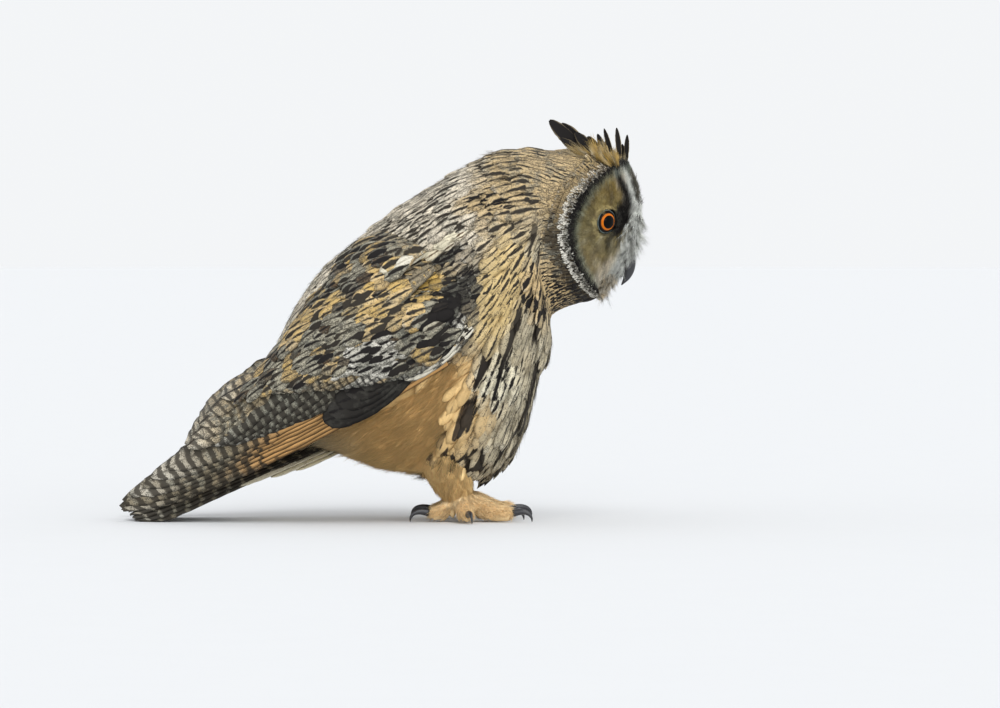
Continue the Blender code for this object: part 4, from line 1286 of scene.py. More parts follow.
class Vanes:
    """Large feathers gathered into one mesh."""

    def __init__(self):
        self.points, self.faces, self.uvs, self.cells = [], [], [], []
        self.values = {"base": [], "mark": [], "pattern": [], "rate": [], "chance": []}
        self.count = 0

    def add(self, place, root, tip, width, heights, look, draw, tilt=0.0, bow=0.0, profile=VANE_PROFILE,
            rows=26, columns=8, thick=0.45, cup=0.0):
        """One feather with a shaft ridge, an arched blade and a frayed edge."""
        v = np.linspace(0.0, 1.0, rows + 1) ** 0.92
        u = np.linspace(-1.0, 1.0, columns + 1)
        ax, ay = tip[0] - root[0], tip[1] - root[1]
        length = math.hypot(ax, ay)
        side = np.array((-ay / length, ax / length))
        half = width / 2 * table_at(profile, v)
        fray = np.array([[draw.uniform(-1.0, 1.0) for _ in u] for _ in v])
        edge = 1.0 + fray * 0.05 * np.abs(u) * (v[:, None] > 0.3)
        slant = 0.35 * half[:, None] * np.abs(u) * np.sin(math.pi * v)[:, None] ** 0.5
        blade_x = length * v[:, None] + slant + fray * 0.004 * length * (v[:, None] > 0.93)
        share = np.clip(blade_x / length, 0.0, 1.03)
        bend = bow * np.sin(math.pi * np.clip(share, 0.0, 1.0))
        blade_y = half[:, None] * u * edge + bend
        a = root[0] + ax / length * blade_x + side[0] * blade_y
        b = root[1] + ay / length * blade_x + side[1] * blade_y
        rise = heights[0] + (heights[1] - heights[0]) * np.minimum(share / 0.34, 1.0)
        lean = -u * tilt / 2 * table_at(profile, v)[:, None]
        arch = cup * (1.0 - u ** 2) * (half / half.max())[:, None]
        shaft = 0.35 * np.exp(-(u / 0.16) ** 2) * (1.0 - v[:, None] * 0.8)
        ripple = 0.08 * np.sin(v[:, None] * 40.0 + np.abs(u) * 6.0 + draw.uniform(0, 6))
        top = rise + lean + arch + shaft + ripple + thick / 2
        low = rise + lean + arch * 0.7 - thick / 2 * (1.0 - u ** 2)
        start = sum(len(p) for p in self.points)
        above = place(a, b, top)
        below = place(a[:, 1:-1], b[:, 1:-1], low[:, 1:-1])
        upper = start + np.arange(above[..., 0].size).reshape(len(v), len(u))
        inner = start + upper.size + np.arange(below[..., 0].size).reshape(len(v), -1)
        lower = np.concatenate((upper[:, :1], inner, upper[:, -1:]), axis=1)
        self.points += [above.reshape(-1, 3), below.reshape(-1, 3)]
        sheets = []
        for grid, flip in ((upper, False), (lower, True)):
            quads = np.stack((grid[:-1, :-1], grid[1:, :-1], grid[1:, 1:], grid[:-1, 1:]), axis=-1)
            sheets.append(quads.reshape(-1, 4)[:, ::-1] if flip else quads.reshape(-1, 4))
        for row in (0, -1):
            ends = np.stack((upper[row, :-1], upper[row, 1:], lower[row, 1:], lower[row, :-1]), axis=-1)
            sheets.append(ends if row == 0 else ends[:, ::-1])
        self.faces.append(np.concatenate(sheets))
        flat = np.stack(np.broadcast_arrays(u * 0.5 + 0.5, v[:, None]), axis=-1)
        uvs = np.concatenate((flat.reshape(-1, 2), flat[:, 1:-1].reshape(-1, 2)))
        self.uvs.append(uvs)
        self.cells.append(np.full(len(uvs), self.count))
        colours = look(uvs[:, 0], uvs[:, 1])
        # Painted shade: the base colour darkens by up to 0.4 towards each feather's side edges, where the
        # feathers overlap.
        painted_edge_shade = 1.0 - 0.4 * smooth(np.abs(uvs[:, 0] * 2.0 - 1.0), 0.8, 1.0)
        colours["base"] = colours["base"] * painted_edge_shade[:, None]
        for key in ("base", "mark", "pattern"):
            self.values[key].append(np.broadcast_to(colours[key], (len(uvs), 3)))
        self.values["rate"].append(np.broadcast_to(colours["rate"], len(uvs)))
        self.values["chance"].append(np.full(len(uvs), draw.random()))
        self.count += 1

    def build(self, name):
        """One piece of all the feathers, each with its own square of the unwrap."""
        points = np.concatenate(self.points)
        faces = np.concatenate(self.faces)
        mesh = bpy.data.meshes.new(name)
        mesh.from_pydata((points * MM).tolist(), [], [tidy_face(face) for face in faces.tolist()])
        mesh.update()
        bm = bmesh.new()
        bm.from_mesh(mesh)
        mesh = mesh_from(bm, name, outwards=True)
        uvs = np.concatenate(self.uvs)
        cells = np.concatenate(self.cells)
        across = math.ceil(math.sqrt(self.count))
        corner = np.stack((cells % across, cells // across), axis=1) / across
        corners = corner_points(mesh)
        write_uv(mesh, "vane", uvs[corners])
        write_uv(mesh, "OFBake", (corner + (0.06 + 0.88 * uvs) / across)[corners])
        for key, values in self.values.items():
            write_attribute(mesh, key, np.concatenate(values))
        mesh.materials.append(bpy.data.materials["plumage"])
        mesh.shade_smooth()
        return link(name, mesh)


def tidy_face(face):
    """A face without a repeated corner."""
    return [p for k, p in enumerate(face) if p != face[k - 1]]


def plain_look(base, mark, pattern, rate=3.0):
    """The same colours and pattern all over a feather."""
    def look(u, v):
        return {"base": np.array(base), "mark": np.array(mark), "pattern": np.array(pattern), "rate": rate}

    return look


def primary_look(u, v):
    """Orange near the root, then grey brown with dark bars towards the tip."""
    outer = smooth(v, 0.54, 0.74)
    edge = smooth(0.5 - u, 0.42, 0.50) * (1.0 - outer)
    base = lerp(np.tile(ORANGE, (len(u), 1)) * 0.8, lerp(GREY, BUFF, 0.35) * 0.7, outer)
    pattern = np.stack((np.full_like(v, 0.06), 0.55 * smooth(v, 0.50, 0.66), 0.65 * outer), axis=1)
    return {"base": lerp(base, DARK, edge * 0.7), "mark": np.array(DARK), "pattern": pattern, "rate": 24.0}


def tail_look(pair):
    """Dark with narrow pale bars, paler on the outer feathers."""
    pale = lerp(GREY, BUFF, 0.45 if pair < 4 else 0.2) * 0.6
    return plain_look(pale, lerp(BLACK, DARK, 0.6), (0.10, 0.80, 0.55), 15.0)


def spaced(start, step, places):
    """Tips at even steps along the wing, each at its own place across it."""
    return [(start + step * k, b) for k, b in enumerate(places)]


# Wing rows: roots of the first and last feather, tips in order, widths, heights at root
# and tip, rise from one feather to the next, and tilt.
WING_ROWS = (
    ("primaries", ((25, -14), (38, 0)), (
        (221, -10.6), (229, -8.4), (227, -5.6), (221, -3.0), (213, -0.8), (205, 1.2), (196, 2.6),
    ), (20, 20), (-7.0, -7.0), 0.85, 0.4),
    ("secondaries", ((32, 0), (70, 29)), (
        (100, 1.5), (115, 0.6), (128, 0.2), (140, 0.2), (150, 0.6), (159, 1.4), (165, 2.8), (170, 4.6),
    ), (19, 18), (-4.5, -1.0), 0.45, 2.0),
    ("tertials", ((78, 30), (90, 40)), (
        (178, 6), (173, 9), (167, 12), (160, 15),
    ), (16, 16), (-4, 2.6), 0.7, 1.0),
    ("primary_coverts", ((44, -11), (50, 0)), (
        (103, -13), (98, -10), (92, -7), (85, -4), (76, -1.5),
    ), (16, 15), (-4, 0.7), 0.4, 0.9),
    ("alula", ((4, -3), (9, 2)), ((51, -12), (44, -10.5), (36, -8)), (8, 7), (-3, 1.6), 0.7, 0.4),
    ("greater_coverts", ((17, 1), (76, 34)), spaced(52, 6, (
        -6.5, -5.4, -4.2, -2.5, -1, 0.6, 2.4, 4.4, 6.6, 8.6, 10.6, 12.4, 14, 15.4, 16.6, 17.6, 18.4,
    )), (13, 14), (-4.5, 3.2), 0.18, 2.0),
    ("median_coverts", ((4, 8), (60, 40)), spaced(29, 6, (
        -1, 0.6, 2.2, 3.8, 5.4, 7, 8.6, 10.2, 11.6, 13, 14.4, 15.6, 17, 18.4, 19.8,
    )), (12, 12), (-4.5, 4.8), 0.15, 2.0),
    ("upper_coverts", ((2, 20), (44, 48)), spaced(22, 6, (
        8, 9.6, 11.4, 13.2, 15, 16.8, 18.6, 20.2, 21.8, 23.2, 24.6, 26,
    )), (11, 11), (-4.5, 6.0), 0.12, 2.0),
    ("scapulars", ((6, 40), (20, 66)), spaced(62, 7, (
        27, 27.6, 28.4, 29, 29.6, 30, 30, 29.6, 29,
    )), (14, 13), (-4.5, 7.0), 0.25, 2.0),
    ("upper_scapulars", ((6, 52), (16, 72)), spaced(44, 8, (
        42, 43, 43.6, 44, 44, 43.4, 42,
    )), (13, 12), (-4.5, 7.6), 0.2, 2.0),
)


def wing_feather_look(row, t, draw):
    """The pattern of one large wing feather at the share t of its row."""
    if row == "primaries":
        return primary_look
    if row == "secondaries":
        return plain_look(np.array(GREY) * 0.6, lerp(BLACK, DARK, 0.6), (0.16, 0.66, 0.75), 18.0)
    if row == "primary_coverts":
        return plain_look(lerp(BLACK, GREY, 0.03), BLACK, (0.2, 0.0, 0.1))
    if row == "alula":
        return plain_look(lerp(PALE, WHITE, 0.5) if t < 0.6 else BLACK, BLACK, (0.22, 0.25, 0.1), 2.6)
    if row == "tertials":
        return plain_look(lerp(GREY, BUFF, 0.5), DARK, (0.12, 0.34, 1.1), 13.0)
    warm = draw.uniform(0.0, 1.0)
    if row == "greater_coverts":
        tint = WHITE if t < 0.45 and warm < 0.6 else BUFF
        return plain_look(lerp(GREY, tint, 0.35 + 0.55 * warm), BLACK, (0.14, 0.36, 1.0), 12.0)
    if row == "median_coverts":
        tint = WHITE if t < 0.5 and warm < 0.5 else lerp(BUFF, GOLD, t)
        return plain_look(lerp(GREY, tint, 0.35 + 0.55 * warm), BLACK, (0.34, 0.3, 0.9), 6.0)
    if row == "upper_coverts":
        dark = t < 0.25 or (t < 0.5 and warm < 0.4)
        tint = BLACK if dark else lerp(GOLD, GREY, 0.1 + 0.4 * warm)
        return plain_look(tint, BLACK, (0.42, 0.0, 0.60), 2.6)
    if row == "scapulars":
        return plain_look(lerp(BUFF, GREY, 0.4 + 0.6 * warm), DARK, (0.26, 0.0, 0.95), 2.6)
    return plain_look(lerp(GREY, BUFF, 0.2 + 0.6 * warm), DARK, (0.24, 0.0, 1.0), 4.0)


# How far the large feathers are sunk near the back, so that no gap shows there.
BACK_SINK = 9.0


def build_wing(side, word):
    """The folded wing's flight feathers and large coverts."""
    def place(a, b, height):
        near_back = smooth(b / table_at(WING_BACK_LINE, a), 0.45, 0.85)
        along = smooth(a, 20.0, 60.0) * (1.0 - smooth(a, 105.0, 150.0))
        return wing_point(side, a, b, height - BACK_SINK * near_back * along)

    draw = random.Random(7 + side)
    vanes = Vanes()
    for row, roots, tips, widths, heights, rise, tilt in WING_ROWS:
        rows = 30 if row in ("primaries", "secondaries", "tertials") else 16
        for i, tip in enumerate(tips):
            t = i / (len(tips) - 1)
            root = lerp(roots[0], roots[1], t)
            width = widths[0] + (widths[1] - widths[0]) * t
            tip = (tip[0] + draw.uniform(-0.8, 0.8), tip[1])
            look = wing_feather_look(row, t, draw)
            vanes.add(place, root, tip, width, (heights[0], heights[1] + rise * i), look, draw,
                      tilt=tilt, bow=-2.0, rows=rows, cup=0.8)
    return vanes.build("wing_" + word + "_feathers")


class Roots:
    """Single places where a feather grows, with what grows there."""

    def __init__(self):
        self.rows = []

    def add(self, place, out, lie, look, size, lift):
        """The look is a base colour, a mark colour and a pattern."""
        self.rows.append((place, out, lie, *look, size, lift))

    def mesh(self, name):
        """Loose points that carry what grows on them."""
        columns = (np.array(column, float) for column in zip(*self.rows))
        places, outs, lies, bases, marks, patterns, sizes, lifts = columns
        mesh = bpy.data.meshes.new(name)
        mesh.from_pydata((places * MM).tolist(), [], [])
        carried = {
            "out": outs, "lie": unit(lies - outs * (lies * outs).sum(axis=1)[:, None]), "base": bases,
            "mark": marks, "pattern": patterns, "size": sizes * MM, "lift": lifts,
            "rate": np.full(len(places), 3.0),
        }
        for key, values in carried.items():
            write_attribute(mesh, key, values)
        return mesh


# The edge that the small coverts reach, as distances across and along the folded wing, and
# their columns and rows: number, start, step and random share.
COVERT_EDGE = (
    (-8.0, 34.0), (4.0, 72.0), (16.0, 134.0), (26.0, 120.0), (42.0, 98.0), (58.0, 70.0), (74.0, 42.0),
)
COVERT_COLUMNS = (26, 6.0, 5.2, 1.2)
COVERT_ROWS = (19, -7.0, 4.6, 0.9)
COVERT_RAY_HEIGHT = 28.0
COVERT_RAY_REACH = 0.034


def covert_roots():
    """Roots of the small scale-like coverts that lie over the wings' large feathers."""
    roots = Roots()
    draw = random.Random(61)
    columns, first_a, step_a, loose_a = COVERT_COLUMNS
    rows, first_b, step_b, loose_b = COVERT_ROWS
    for side, word in SIDES:
        tree = tree_of(bpy.data.objects[f"wing_{word}_feathers"].data)
        for i in range(columns):
            for k in range(rows):
                a = first_a + step_a * i + draw.uniform(-loose_a, loose_a)
                b = first_b + step_b * k + step_b / 2 * (i % 2) + draw.uniform(-loose_b, loose_b)
                if a > table_at(COVERT_EDGE, b):
                    continue
                high, low = (wing_point(side, np.array(a), np.array(b), h) for h in (COVERT_RAY_HEIGHT, 0.0))
                inwards = unit(low - high)
                found = tree.ray_cast(Vector(high * MM), Vector(inwards), COVERT_RAY_REACH)[0]
                if found is None:
                    continue
                here = np.array(found) / MM
                look = covert_look(here[None], draw)
                size = (draw.uniform(12.0, 15.5), draw.uniform(7.0, 9.0))
                roots.add(here, -inwards, WING_ALONG, look, size, 0.7)
    return roots


def covert_look(place, draw):
    """Colours and pattern of one small covert."""
    kind, shade = draw.random(), draw.random()
    gold = float(np.maximum(GOLD_STRIPE.cover(place, 0.5), GOLD_FIELD.cover(place, 0.8))[0])
    white = float(WHITE_SPOTS.cover(place, 0.8)[0])
    if draw.random() < float(np.maximum(SHOULDER_BLACK.cover(place, 0.5), WRIST_BLACK.cover(place, 0.5))[0]):
        return lerp(BLACK, DARK, 0.4 * shade), BLACK, (0.2, 0.0, 0.0)
    if draw.random() < float(PALE_LINE.cover(place, 0.4)[0]):
        return lerp(PALE, WHITE, 0.6 * shade), BROWN, (0.05, 0.0, 0.4)
    if draw.random() < gold * 0.7:
        return lerp(GOLD, BUFF, 0.3 + 0.7 * shade), DARK, (0.10 + 0.3 * kind, 0.0, 0.5)
    if draw.random() < white * 0.6:
        return lerp(WHITE, GREY, 0.2 + 0.4 * shade), BLACK, (0.34, 0.0, 0.8)
    if kind < 0.55:
        return lerp(GREY, PALE, 0.1 + 0.5 * shade), lerp(BLACK, DARK, shade), (0.36, 0.0, 1.1)
    if kind < 0.8:
        return lerp(BUFF, GOLD, 0.6 * shade) * 0.9, DARK, (0.32, 0.0, 0.9)
    return lerp(BROWN, GREY, 0.5 * shade), BLACK, (0.36, 0.0, 1.2)


def build_tail():
    """The tail's feathers, and the rows of small ones above and below their roots."""
    draw = random.Random(3)
    vanes = Vanes()
    for k in range(6):
        for side in (-1, 1):
            root = (0.0, side * (1.2 + 1.3 * k))
            tip = (TAIL_LENGTH - 1.1 * k + draw.uniform(-1, 1), side * (5.5 + 3.1 * k))
            level = 2.8 - 0.95 * (k + (1 if k or side < 0 else 0))
            vanes.add(tail_point, root, tip, 17.0, (0.0, level), tail_look(k), draw, cup=0.6)
    under_look = plain_look(VENT, BROWN, (0.10, 0.0, 0.1))
    upper_look = plain_look(lerp(GREY, BUFF, 0.5), DARK, (0.2, 0.7, 0.8), 3.5)
    # Number, gap between tips, reach, width, heights at root and tip, and look.
    rows = (
        (7, 5.0, 50.0, 12.0, (0.0, 3.8), upper_look),
        (5, 8.0, 34.0, 13.0, (1.0, 5.2), upper_look),
        (9, 5.0, 80.0, 11.0, (-2.0, -2.6), under_look),
        (8, 5.6, 62.0, 12.0, (-2.0, -4.2), under_look),
        (7, 6.0, 46.0, 12.0, (-3.0, -6.0), under_look),
    )
    for count, gap, reach, width, (low, high), look in rows:
        for k in range(count):
            b = (k - (count - 1) / 2) * gap
            level = high + math.copysign(0.5 * (k % 2), high)
            vanes.add(tail_point, (-8.0, b * 0.5), (reach - abs(b) * 0.8, b), width, (low, level), look, draw,
                      rows=16, columns=6, cup=0.5)
    return vanes.build("tail_feathers")


# Feathers of each ear tuft: forward place of the root, out place, length, width, lean back in
# degrees, and twist in degrees.
TUFTS = {
    -1: (
        (-3.0, 13.0, 33.0, 9.0, 54.0, 12.0), (-0.5, 12.0, 29.5, 8.0, 50.0, -14.0),
        (2.0, 13.5, 23.0, 7.0, 48.0, 20.0), (4.5, 12.5, 19.0, 6.0, 42.0, -10.0),
        (7.0, 13.5, 15.0, 5.0, 36.0, 15.0), (-1.0, 15.0, 24.0, 6.0, 64.0, 30.0),
    ),
    1: (
        (1.5, 13.0, 18.5, 4.0, 30.0, 10.0), (4.5, 12.0, 21.5, 3.4, 24.0, -15.0),
        (8.0, 13.5, 22.0, 3.4, 14.0, 20.0), (11.0, 12.5, 18.5, 3.2, 5.0, -8.0),
        (3.0, 15.0, 14.0, 3.6, 26.0, 25.0), (9.5, 15.0, 13.0, 3.6, 12.0, -20.0),
    ),
}


def tuft_look(u, v):
    """Black with buff edges."""
    edge = smooth(np.abs(u - 0.5) * 2.0, 0.78, 0.98)
    edge = edge * (1.0 - 0.6 * smooth(v, 0.6, 1.0))
    base = lerp(np.tile(BLACK, (len(u), 1)), lerp(BUFF, PALE, 0.3), edge)
    return {"base": base, "mark": np.array(BLACK), "pattern": np.array((0.45, 0.0, 0.0)), "rate": 3.0}


TUFT_BASE = 36.0
TUFT_PLUMES = 150


def build_tuft(side, word):
    """The large feathers of one ear tuft."""
    vanes = Vanes()
    draw = random.Random(19 + side)
    for forward, out, length, width, lean, twist in TUFTS[side]:
        lean, twist = math.radians(lean), math.radians(twist)

        def place(a, b, h):
            along = b * math.cos(twist) - h * math.sin(twist)
            across = b * math.sin(twist) + h * math.cos(twist)
            back = a * math.sin(lean) + a * a * 0.002
            return head_point(
                forward - back + along * math.cos(lean),
                side * (out + 0.12 * a) + across,
                TUFT_BASE + a * math.cos(lean) + along * math.sin(lean),
            )

        vanes.add(place, (0, 0), (length, 0), width, (0, 0), tuft_look, draw,
                  profile=POINTED_PROFILE, rows=18, thick=0.3, cup=0.6)
    return vanes.build("ear_tuft_" + word + "_feathers")


def tuft_down_roots():
    """Roots of the long golden plumes round the base of each ear tuft."""
    roots = Roots()
    draw = random.Random(41)
    forward, left, _ = head_axes()
    for side, reach, raised in ((-1, 17.0, 0.0), (1, 10.0, 2.0)):
        for _ in range(TUFT_PLUMES):
            ahead = draw.uniform(-10.0, 12.0)
            place, out = on_skin(head_point(ahead, side * draw.uniform(9.0, 18.0), TUFT_BASE + 1.0))
            lie = -forward + left * draw.uniform(-0.3, 0.3)
            base = lerp(GOLD, lerp(PALE, DARK, draw.random()), draw.uniform(0.1, 0.8))
            size = (draw.uniform(0.5, 1.0) * reach, draw.uniform(3.0, 4.5))
            roots.add(place, out, lie, (base, DARK, (0.0, 0.0, 0.1)), size, draw.uniform(2.2, 4.4) + raised)
    return roots


def join_rings(bm, rings):
    """Faces between rings of points that follow one another."""
    for near, far in zip(rings, rings[1:]):
        for k in range(len(near)):
            after = (k + 1) % len(near)
            bm.faces.new((near[k], near[after], far[after], far[k]))


def tube(name, centres, radii, sides=20, squash=1.0, across=(0.0, 1.0, 0.0)):
    """A closed round form along a line, in millimetres, ended by points."""
    centres, radii = np.asarray(centres, float), np.asarray(radii, float)
    ahead = unit(np.gradient(centres, axis=0))
    across = np.asarray(across, float)
    bm = bmesh.new()
    rings = []
    for centre, radius, heading in zip(centres, radii, ahead):
        out = unit(across - heading * (across @ heading))
        up = np.cross(heading, out)
        rings.append([
            bm.verts.new(tuple((centre + radius * (squash * out * math.sin(t) + up * math.cos(t))) * MM))
            for t in np.linspace(0.0, 2 * math.pi, sides, endpoint=False)
        ])
    join_rings(bm, rings)
    for ring, centre in ((rings[0], centres[0]), (rings[-1], centres[-1])):
        tip = bm.verts.new(tuple(centre * MM))
        for k in range(sides):
            bm.faces.new((tip, ring[k], ring[(k + 1) % sides]))
    mesh = mesh_from(bm, name, outwards=True)
    mesh.shade_smooth()
    return link(name, mesh)


def fine_line(rows, count):
    """A smooth curve through rows of numbers."""
    rows = np.asarray(rows, float)
    s = np.linspace(0.0, len(rows) - 1.0, count)
    i = np.minimum(s.astype(int), len(rows) - 2)
    t = (s - i)[:, None]
    p0, p1 = rows[np.maximum(i - 1, 0)], rows[i]
    p2, p3 = rows[i + 1], rows[np.minimum(i + 2, len(rows) - 1)]
    cubic = 2 * p0 - 5 * p1 + 4 * p2 - p3
    return 0.5 * (2 * p1 + (p2 - p0) * t + cubic * t * t + (3 * p1 - p0 - 3 * p2 + p3) * t ** 3)


def build_bill():
    """Both halves of the bill."""
    left = head_axes()[1]
    horn = bpy.data.materials["horn"]
    for name, stations, squash in (("bill_upper", BILL_UPPER, 0.80), ("bill_lower", BILL_LOWER, 0.85)):
        line = fine_line(stations, 40)
        centres = head_point(line[:, 0], np.zeros(len(line)), line[:, 1])
        piece = tube(name + "_horn", centres, np.maximum(line[:, 2], 0.15), 28, squash, left)
        piece.data.materials.append(horn)
        slot_in(piece, "horn", name)


def build_claws():
    """The curved claws, ahead of the toes."""
    horn = bpy.data.materials["horn"]
    for side, word in SIDES:
        for name, heading, length in TOES:
            dx, dy = math.cos(heading), side * math.sin(heading)
            t = np.linspace(0.0, 1.0, 18)
            turn = CLAW_CURVE * t
            reach = length + 1.0 + CLAW_LENGTH * 0.86 * np.sin(turn)
            rise = CLAW_ROOT_HEIGHT - CLAW_LENGTH * 0.36 * (1 - np.cos(turn)) + 1.6 * np.sin(math.pi * t)
            centres = np.stack((ANKLE[0] + dx * reach, side * LEG_SIDE + dy * reach, rise), axis=1)
            radii = CLAW_RADIUS * (1 - t) ** 0.75 + 0.12
            piece = tube(f"claw_{word}_{name}_horn", centres, radii, 14, 0.8, (-dy, dx, 0.0))
            piece.data.materials.append(horn)
            slot_in(piece, "horn", f"claw_{word}_{name}")


def build_eyes():
    """The eyeballs, bulged a little in front, and their lids."""
    for side, word in SIDES:
        bm = bmesh.new()
        bmesh.ops.create_uvsphere(bm, u_segments=56, v_segments=36, radius=EYE_RADIUS * MM)
        axis = eye_axis(side)
        for vert in bm.verts:
            ahead = max(vert.co.normalized().dot(Vector(axis)), 0.0)
            vert.co *= 1.0 + EYE_BULGE * smooth(ahead, 0.72, 1.0)
            vert.co += Vector(eye_centre(side) * MM)
        mesh = mesh_from(bm, "eyeball")
        mesh.shade_smooth()
        mesh.materials.append(eye_material(side, word))
        piece = link(f"eye_{word}_ball", mesh)
        slot_in(piece, "iris", "eye_" + word)
        for name, place, radius, girth, material in LID_RINGS:
            slot_in(build_lid(side, f"{name}_{word}", place, radius, girth, material), "horn")


# Rings of the eyelids: place ahead of the eye's centre, radius, girth and finish.
LID_RINGS = (("lid", 6.2, 5.65, 0.65, "lid_dark"), ("lid_edge", 5.8, 6.5, 0.30, "lid"))


def build_lid(side, name, place, radius, girth, material):
    """A ring round the eye, a little narrower than tall, with a slightly beaded edge."""
    axis = eye_axis(side)
    up = unit(head_axes()[2] - axis * (head_axes()[2] @ axis))
    out = np.cross(axis, up)
    bm = bmesh.new()
    rings = []
    for turn in np.linspace(0.0, 2 * math.pi, 72, endpoint=False):
        away = out * math.cos(turn) * 0.94 + up * math.sin(turn)
        centre = eye_centre(side) + axis * place + away * radius
        thick = girth * (1.0 + 0.12 * math.sin(turn * 9.0))
        ring = []
        for angle in np.linspace(0.0, 2 * math.pi, 10, endpoint=False):
            point = centre + thick * (away * math.cos(angle) + axis * math.sin(angle))
            ring.append(bm.verts.new(tuple(point * MM)))
        rings.append(ring)
    join_rings(bm, rings + rings[:1])
    mesh = mesh_from(bm, name, outwards=True)
    mesh.shade_smooth()
    mesh.materials.append(bpy.data.materials[material])
    return link(name, mesh)


# Rows of the ruff: share of the disc's radius, feather length and width, and lift.
RUFF_ROWS = (
    (0.925, (3.2, 1.5), 0.8), (0.945, (3.2, 1.5), 0.8), (0.963, (3.2, 1.5), 0.8),
    (0.980, (3.0, 1.5), 0.8), (0.996, (2.4, 1.2), 0.8), (1.010, (2.4, 1.25), 0.8),
    (1.021, (2.4, 1.25), 0.8), (1.032, (2.4, 1.25), 0.8), (1.043, (2.4, 1.25), 0.8),
    (1.054, (2.2, 1.2), 0.8), (1.065, (2.4, 1.2), 0.8), (1.077, (3.0, 1.5), 0.4),
    (1.090, (3.4, 1.8), 0.4), (1.104, (4.0, 2.0), 0.4),
)
RUFF_SPACING = 1.05


def ruff_look(share, angle, draw):
    """Colours and pattern of one ruff feather: black inside, white in the middle, and dark outside, with
    painted shade that turns the outer rows black towards the lower half.
    """
    up = math.sin(angle)
    if share < 0.99:
        chin = float(smooth(-up, 0.93, 0.985))
        return lerp(BLACK, lerp(PALE, BUFF, draw.random()), chin), BLACK, (0.0, 0.0, 0.0)
    if share < 1.07:
        low = float(smooth(-up, 0.0, 0.7))
        pattern = (0.0, 0.0, 0.5 * (1.0 - 0.7 * low))
        if draw.random() < 0.40 * (1.0 - 0.75 * low):
            return DARK, WHITE, pattern
        return lerp(WHITE, BUFF, 0.35 * float(smooth(up, -0.2, 0.8))), BLACK, pattern
    # Outer rows: mottled buff and dark, with painted shade below the ruff that turns them black towards the
    # lower half.
    shade = float(smooth(-up, -0.45, 0.15))
    base = lerp(lerp(BUFF, DARK, draw.uniform(0.0, 0.6)), BLACK, shade * draw.uniform(0.7, 1.0))
    return base, BLACK, (0.25, 0.0, 0.5)


def ruff_roots():
    """Roots of the ruff's feathers round the facial disc, on the skin."""
    roots = Roots()
    draw = random.Random(5)
    forward, left, up = head_axes()
    for share, size, lift in RUFF_ROWS:
        radius = DISC_RADIUS * share
        count = int(2 * math.pi * radius / RUFF_SPACING)
        for k in range(count):
            angle = 2 * math.pi * (k + draw.uniform(-0.4, 0.4)) / count
            l, u = radius * math.cos(angle), radius * math.sin(angle)
            place, out = on_skin(head_point(face_surface(l, u), l, u))
            away = left * math.cos(angle) + up * math.sin(angle)
            if share >= 1.0:
                out = unit(RUFF_SLOPE * away + forward)
            roots.add(place, out, away - RUFF_SLOPE * forward, ruff_look(share, angle, draw), size, lift)
    return roots


FACE_BRISTLES = 900
CHIN_BRISTLES = 250


def bristle_roots():
    """Roots of the stiff plumes between the eyes and round the bill, then under the bill."""
    roots = Roots()
    draw = random.Random(23)
    forward, left, up = head_axes()
    for k in range(FACE_BRISTLES + CHIN_BRISTLES):
        chin = k >= FACE_BRISTLES
        u = draw.uniform(-37.0, -24.0) if chin else draw.uniform(-24.0, 30.0)
        l = draw.gauss(0.0, 0.45) * (10.0 if chin else 7.0 - 0.10 * abs(u))
        place, out = on_skin(head_point(face_surface(l, u), l, u))
        aside = left * math.copysign(1.0, l) * draw.uniform(0.35, 1.0)
        fall = -0.5 if u < 12.0 else 0.6
        lie = aside + up * (fall + draw.uniform(-0.3, 0.3)) + forward * 0.2
        pale = lerp(FACE_WHITE, GREY, draw.uniform(0.0, 0.35))
        pale = lerp(pale, BUFF, draw.uniform(0.2, 0.8)) if chin else pale
        dark = lerp(BLACK, GREY, draw.uniform(0.0, 0.5))
        on_brow = u > 14.0 and abs(l) < 1.0 + 0.3 * (u - 14.0)
        base = dark if draw.random() < 0.22 or on_brow else pale
        high = float(smooth(u, 2.0, 16.0))
        middle = math.exp(-((u - 1.0) / 9.0) ** 2)
        size = (draw.uniform(7.0, 11.5) * (1.0 - 0.3 * high + 0.35 * middle), 2.2)
        lift = draw.uniform(1.6, 4.2) * (1.0 - 0.5 * high + 0.35 * middle)
        roots.add(place, out, lie, (base, BLACK, (0.0, 0.0, 0.1)), size, lift)
    return roots


FLOOR_RADIUS = 12.0
SENSOR_WIDTH = 36.0
SKY_COLOUR = (0.90, 0.915, 0.93, 1.0)

# Lights: name, spread in degrees and heading.
LIGHTS = (("key", 35.0, (-0.45, 1.0, -1.7)), ("fill", 60.0, (-0.25, 1.0, -0.12)))


def aim(thing, heading):
    """Turns a camera or a light to a heading."""
    thing.rotation_euler = Vector(heading).to_track_quat("-Z", "Y").to_euler()


